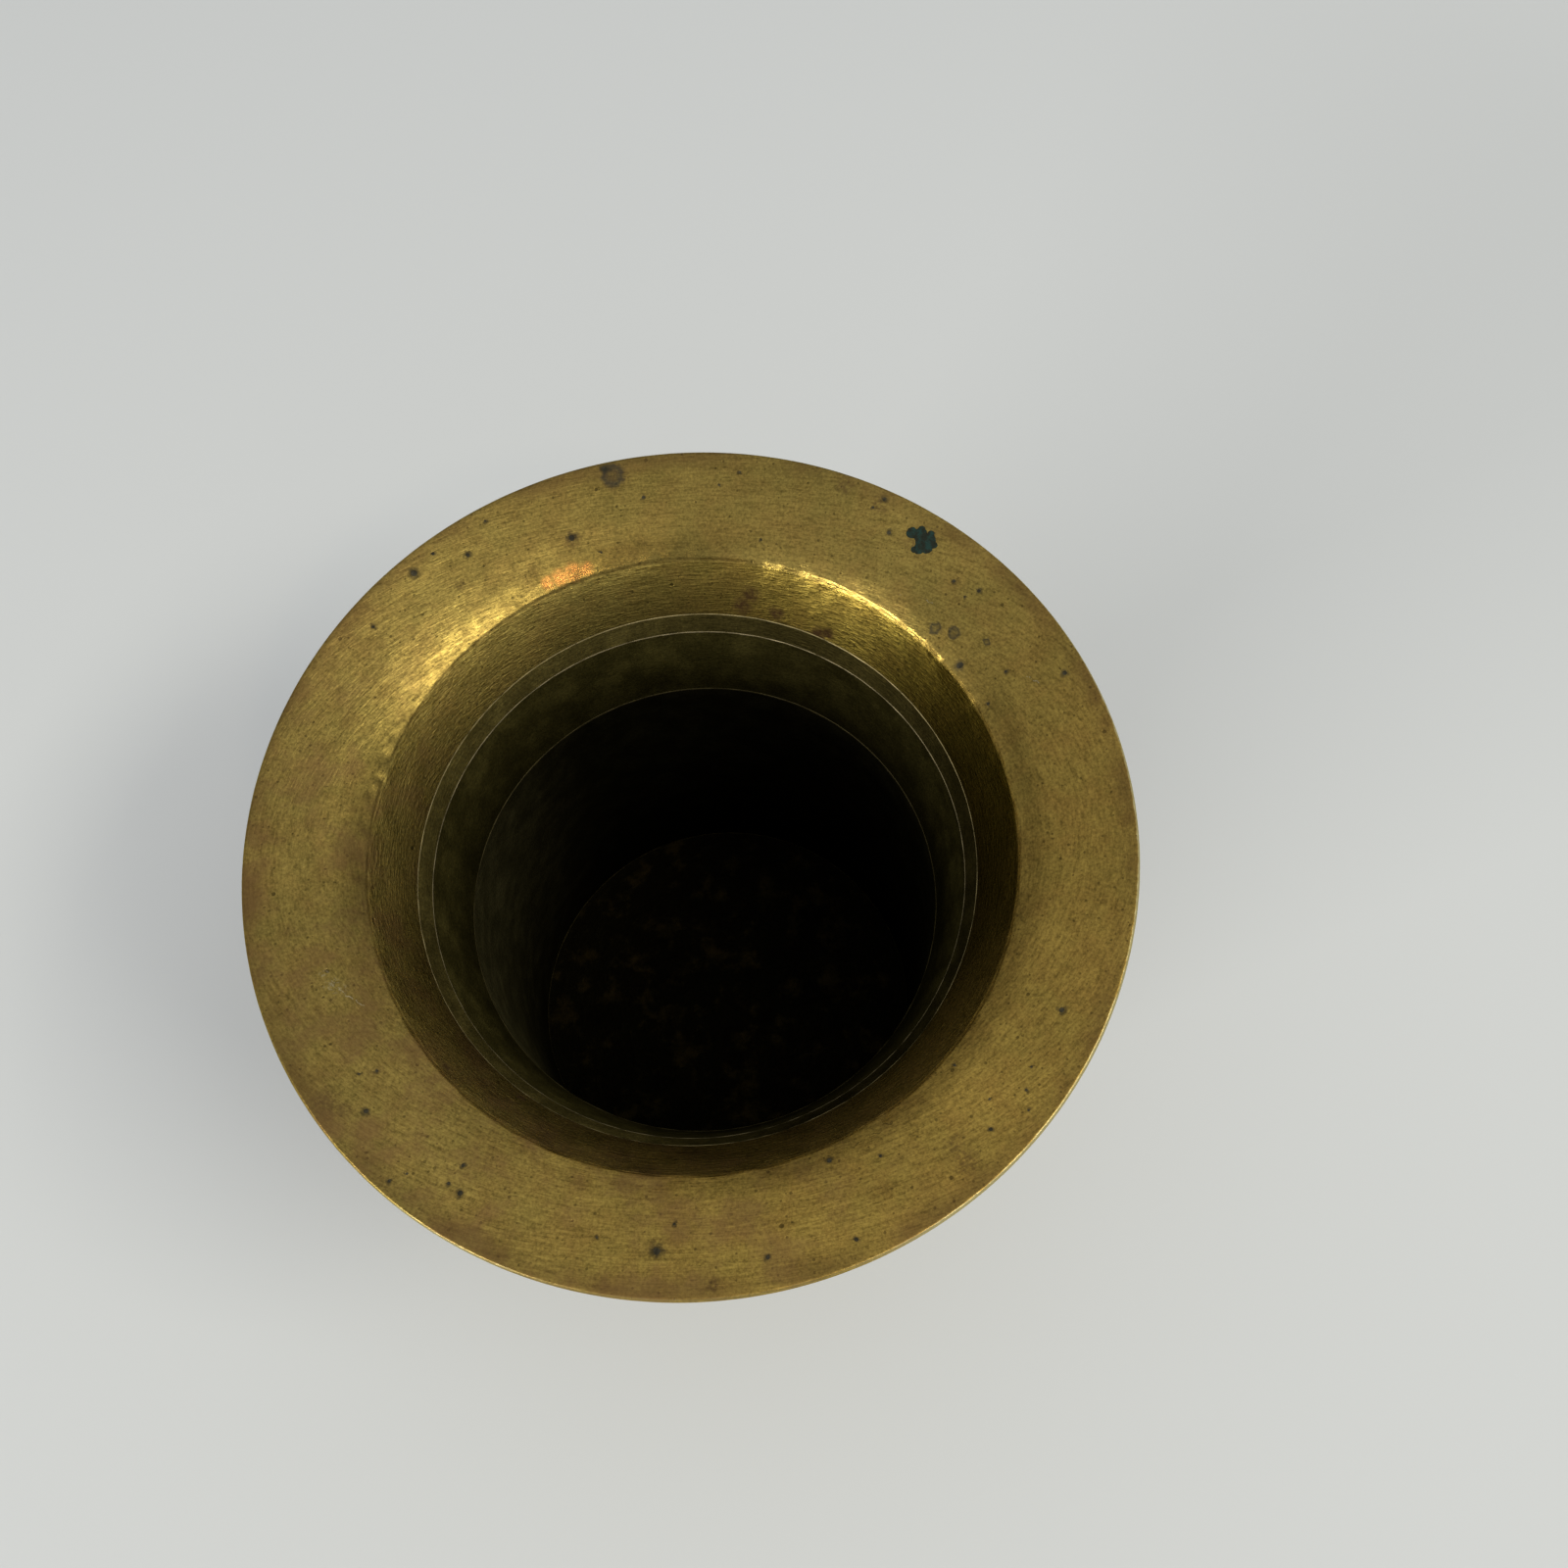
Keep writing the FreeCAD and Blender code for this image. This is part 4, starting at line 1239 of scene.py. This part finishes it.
# %% Floor and foot
floor_section = [
    (0.0, DISC_LOW),
    (TUBE_RADIUS, DISC_LOW),
    (TUBE_RADIUS, FLOOR_HEIGHT, 0.0, 0.4),
    (WELL_RADIUS, FLOOR_HEIGHT, 0.0, 0.6),
    (WELL_RADIUS - 1.0, FLOOR_HEIGHT, 0.0, 0.2, 0.6),
    (0.0, FLOOR_HEIGHT, 0.0, 0.0, 1.0),
]
well_floor = turn_piece(
    "well_floor", floor_section, floor_brass, around=180, closed=False,
    hand_marks=0.5, mark_length=5.0, seed=8.1,
)
stands_for(well_floor, "body_brass", "base_disc")

COVE_DEPTH = 1.33
COVE_STEPS = 8
FOOT_HOLE = 31.0
band_top = FOOT_LOW + 2.6
cove_top = band_top + 4.6
cove_low_end = Vector((FOOT_RADIUS - 0.9, band_top + 0.5))
cove_high_end = Vector((39.5, cove_top))
inward = Vector((-0.59, -0.81))
cove = []
for k in range(1, COVE_STEPS + 1):
    share = k / COVE_STEPS
    sag = COVE_DEPTH * 4 * share * (1 - share)
    point = cove_low_end.lerp(cove_high_end, share) + inward * sag
    cove.append((point.x, point.y, 0.0, 0.25 + 0.35 * share))
foot_section = [
    (FOOT_HOLE, FOOT_LOW, 0.0, 0.4),
    (FOOT_RADIUS, FOOT_LOW, 0.7, 0.5),
    (FOOT_RADIUS, band_top, 0.35, 0.0),
    (*cove_low_end, 0.2, 0.5),
    *cove,
    (39.6, cove_top + 0.3, 0.1, 0.7),
    (40.05, cove_top + 1.4, 0.9, 0.0),
    (39.4, cove_top + 2.6, 0.8, 0.1),
    (TUBE_RADIUS + SOCKET_GAP, cove_top + 2.6, 0.0, 0.6),
    (TUBE_RADIUS + SOCKET_GAP, DISC_LOW, 0.0, 0.0),
    (FOOT_HOLE, DISC_LOW, 0.0, 0.4),
]
foot = turn_piece("foot", foot_section, foot_brass, around=288)
stands_for(foot, "body_brass", "foot_ring")

# %% [markdown]
# ## The silver-brazed seams
# A braze seam is a thin bright line. The solder was fed in by hand and scraped back afterwards, so it
# stands a hair proud in one place and is scraped flat in the next. Four of the seams are rings between
# butted ends. The fifth is a fillet in the corner between the body and the foot.

# %% Braze rings
def butt_ring(name, node, inner, proud, finish):
    """The ring of braze between two butted ends, a little round where it shows inside."""
    outer, low, high = node_size(node)
    middle = (low + high) / 2
    section = [
        (inner, low, 0.0, 0.8, 0.3),
        (outer, low),
        (outer, high),
        (inner, high, 0.0, 0.8, 0.3),
        (inner - 0.7 * proud, high - 0.05, 0.0, 0.3, 0.8),
        (inner - proud, middle, 0.0, 0.0, 1.0),
        (inner - 0.7 * proud, low + 0.05, 0.0, 0.3, 0.8),
    ]
    ring = turn_piece(
        name, section, finish, around=540, hand_marks=0.16, mark_length=2.4, seed=inner
    )
    stands_for(ring, "silver_braze", node)


butt_ring("mouth_seam", "braze_mouth", MOUTH_SEAM_RADIUS, 0.06, golden_braze)
butt_ring("neck_seam", "braze_neck", NECK_SEAM_RADIUS, 0.06, silver_braze)
butt_ring("body_seam", "braze_body", WELL_RADIUS, 0.08, dull_braze)
butt_ring("floor_seam", "braze_floor", WELL_RADIUS, 0.05, black_braze)

fillet_outer, fillet_low, fillet_high = node_size("braze_foot")
fillet_section = [
    (TUBE_RADIUS, fillet_low),
    (fillet_outer, fillet_low, 0.0, 0.3, 0.5),
    (TUBE_RADIUS + 0.45, fillet_low + 0.4, 0.5, 0.1, 1.0),
    (TUBE_RADIUS, fillet_high, 0.0, 0.3, 0.5),
]
foot_seam = turn_piece(
    "foot_seam", fillet_section, worn_braze, step=0.3,
    hand_marks=0.25, mark_length=3.0, seed=5.5,
)
stands_for(foot_seam, "silver_braze", "braze_foot")

# %% [markdown]
# ## The felt pad
# A disc of wool felt, cut with scissors and glued on, so that the foot doesn't scratch the desk. Its
# cut edge is soft and not quite true.

# %% Felt pad
felt_section = [
    (0.0, FELT_LOW, 0.0, 0.0, 0.0),
    (FELT_RADIUS - 0.8, FELT_LOW, 0.0, 0.0, 0.0),
    (FELT_RADIUS - 0.1, FELT_LOW + 0.2, 0.3, 0.0, 0.4),
    (FELT_RADIUS - 0.1, FELT_HIGH - 0.2, 0.2, 0.0, 0.4),
    (FELT_RADIUS - 0.4, FELT_HIGH, 0.0, 0.0, 0.0),
    (0.0, FELT_HIGH, 0.0, 0.0, 0.0),
]
felt = turn_piece(
    "felt_pad", felt_section, pad_felt, around=240, closed=False, step=1.6,
    hand_marks=0.9, mark_length=2.0, seed=2.2,
)
stands_for(felt, "pad_felt", "base_felt")

# %% [markdown]
# ## Studio
# A plain pale floor, an even pale room with a shaded side where somebody stands, and five soft lights.
# The lights are placed by reflection. The window makes the wide gleam along the back left of the
# crease, and the sky above it fills the lip there. The side window makes the thin gleam along the back
# right of the crease. The ceiling lifts everything a little, and a small warm lamp adds a spark.

# %% Floor
FLOOR_HALF = 3.0
FLOOR_COLOUR = (0.59, 0.605, 0.61, 1.0)


def pale_floor():
    """A plain matt floor under the cup."""
    mesh = bpy.data.meshes.new("floor")
    corners = [(x * FLOOR_HALF, y * FLOOR_HALF, 0) for x, y in ((-1, -1), (1, -1), (1, 1), (-1, 1))]
    mesh.from_pydata(corners, [], [(0, 1, 2, 3)])
    material, _, shader = new_finish("pale floor")
    shader.inputs["Base Color"].default_value = FLOOR_COLOUR
    shader.inputs["Roughness"].default_value = 0.9
    mesh.materials.append(material)
    floor = bpy.data.objects.new("floor", mesh)
    bpy.context.scene.collection.objects.link(floor)


pale_floor()

# %% Room and lights
LIGHT_DISTANCE = 1.5
DAYLIGHT = (1.0, 0.98, 0.92)
ROOM_COLOUR = (0.95, 0.975, 1.0, 1.0)
LIGHTS = [
    ("window", -22, 51, (0.60, 0.28), 15.5, (1.0, 0.97, 0.84)),
    ("sky", -18, 64, (0.50, 0.35), 3.0, DAYLIGHT),
    ("side window", -140, 19, (0.85, 0.20), 23.0, DAYLIGHT),
    ("ceiling", 14, 77, (0.55, 0.55), 0.5, (1.0, 1.0, 1.0)),
    ("lamp", -61, 53, (0.08, 0.08), 45.0, (1.0, 0.80, 0.55)),
]


def way_to(azimuth, elevation):
    """The direction at that azimuth and elevation, in degrees."""
    turn, rise = math.radians(azimuth), math.radians(elevation)
    return Vector((math.cos(turn) * math.cos(rise), math.sin(turn) * math.cos(rise), math.sin(rise)))


def soft_light(name, azimuth, elevation, size, radiance, tint):
    """A rectangular soft light that looks at the cup. radiance is how bright its face looks."""
    data = bpy.data.lights.new(name, "AREA")
    data.shape = "RECTANGLE"
    data.size, data.size_y = size
    data.energy = radiance * math.pi * size[0] * size[1]
    data.color = tint
    light = bpy.data.objects.new(name, data)
    outward = way_to(azimuth, elevation)
    facing = outward.to_track_quat("Z", "Y").to_matrix().to_4x4()
    aim = Vector((0, 0, CREASE[1] * MM))
    light.matrix_world = Matrix.Translation(aim + outward * LIGHT_DISTANCE) @ facing
    bpy.context.scene.collection.objects.link(light)


def studio_room(strength, shaded, shade_azimuth, shade_elevation):
    """An even pale room, with a soft shaded side where somebody stands."""
    world = bpy.data.worlds.new("room")
    world.use_nodes = True
    tree = world.node_tree
    background = tree.nodes["Background"]
    background.inputs["Color"].default_value = ROOM_COLOUR
    look = tree.nodes.new("ShaderNodeTexCoord").outputs["Generated"]
    facing = vector_calc(tree, "DOT_PRODUCT", look, tuple(way_to(shade_azimuth, shade_elevation)))
    level = spread(tree, facing, 0.4, 1.0, strength, strength * shaded)
    tree.links.new(level, background.inputs["Strength"])
    bpy.context.scene.world = world


studio_room(0.57, 0.6, -129, -5)
for light in LIGHTS:
    soft_light(*light)
bpy.context.scene.view_settings.view_transform = "Standard"
print(len(LIGHTS), "lights")

# %% [markdown]
# ## Camera
# The camera stands a little to the right of the cup and in front of it, nearly overhead, and looks
# down and away by about 22 degrees.

# %% Camera
CAMERA_PLACE = Vector((12.8, -67.2, RIM_HEIGHT + 180.8)) * MM
UP_FROM_NADIR = math.radians(21.96)
ROLL = math.radians(-2.14)
LENS = 33.06
SENSOR = 36.0
NEAREST = 0.01

camera_data = bpy.data.cameras.new("camera")
camera_data.lens = LENS
camera_data.sensor_width = SENSOR
camera_data.clip_start = NEAREST
camera = bpy.data.objects.new("camera", camera_data)
turned = Matrix.Rotation(UP_FROM_NADIR, 4, "X") @ Matrix.Rotation(ROLL, 4, "Z")
camera.matrix_world = Matrix.Translation(CAMERA_PLACE) @ turned
bpy.context.scene.collection.objects.link(camera)
bpy.context.scene.camera = camera
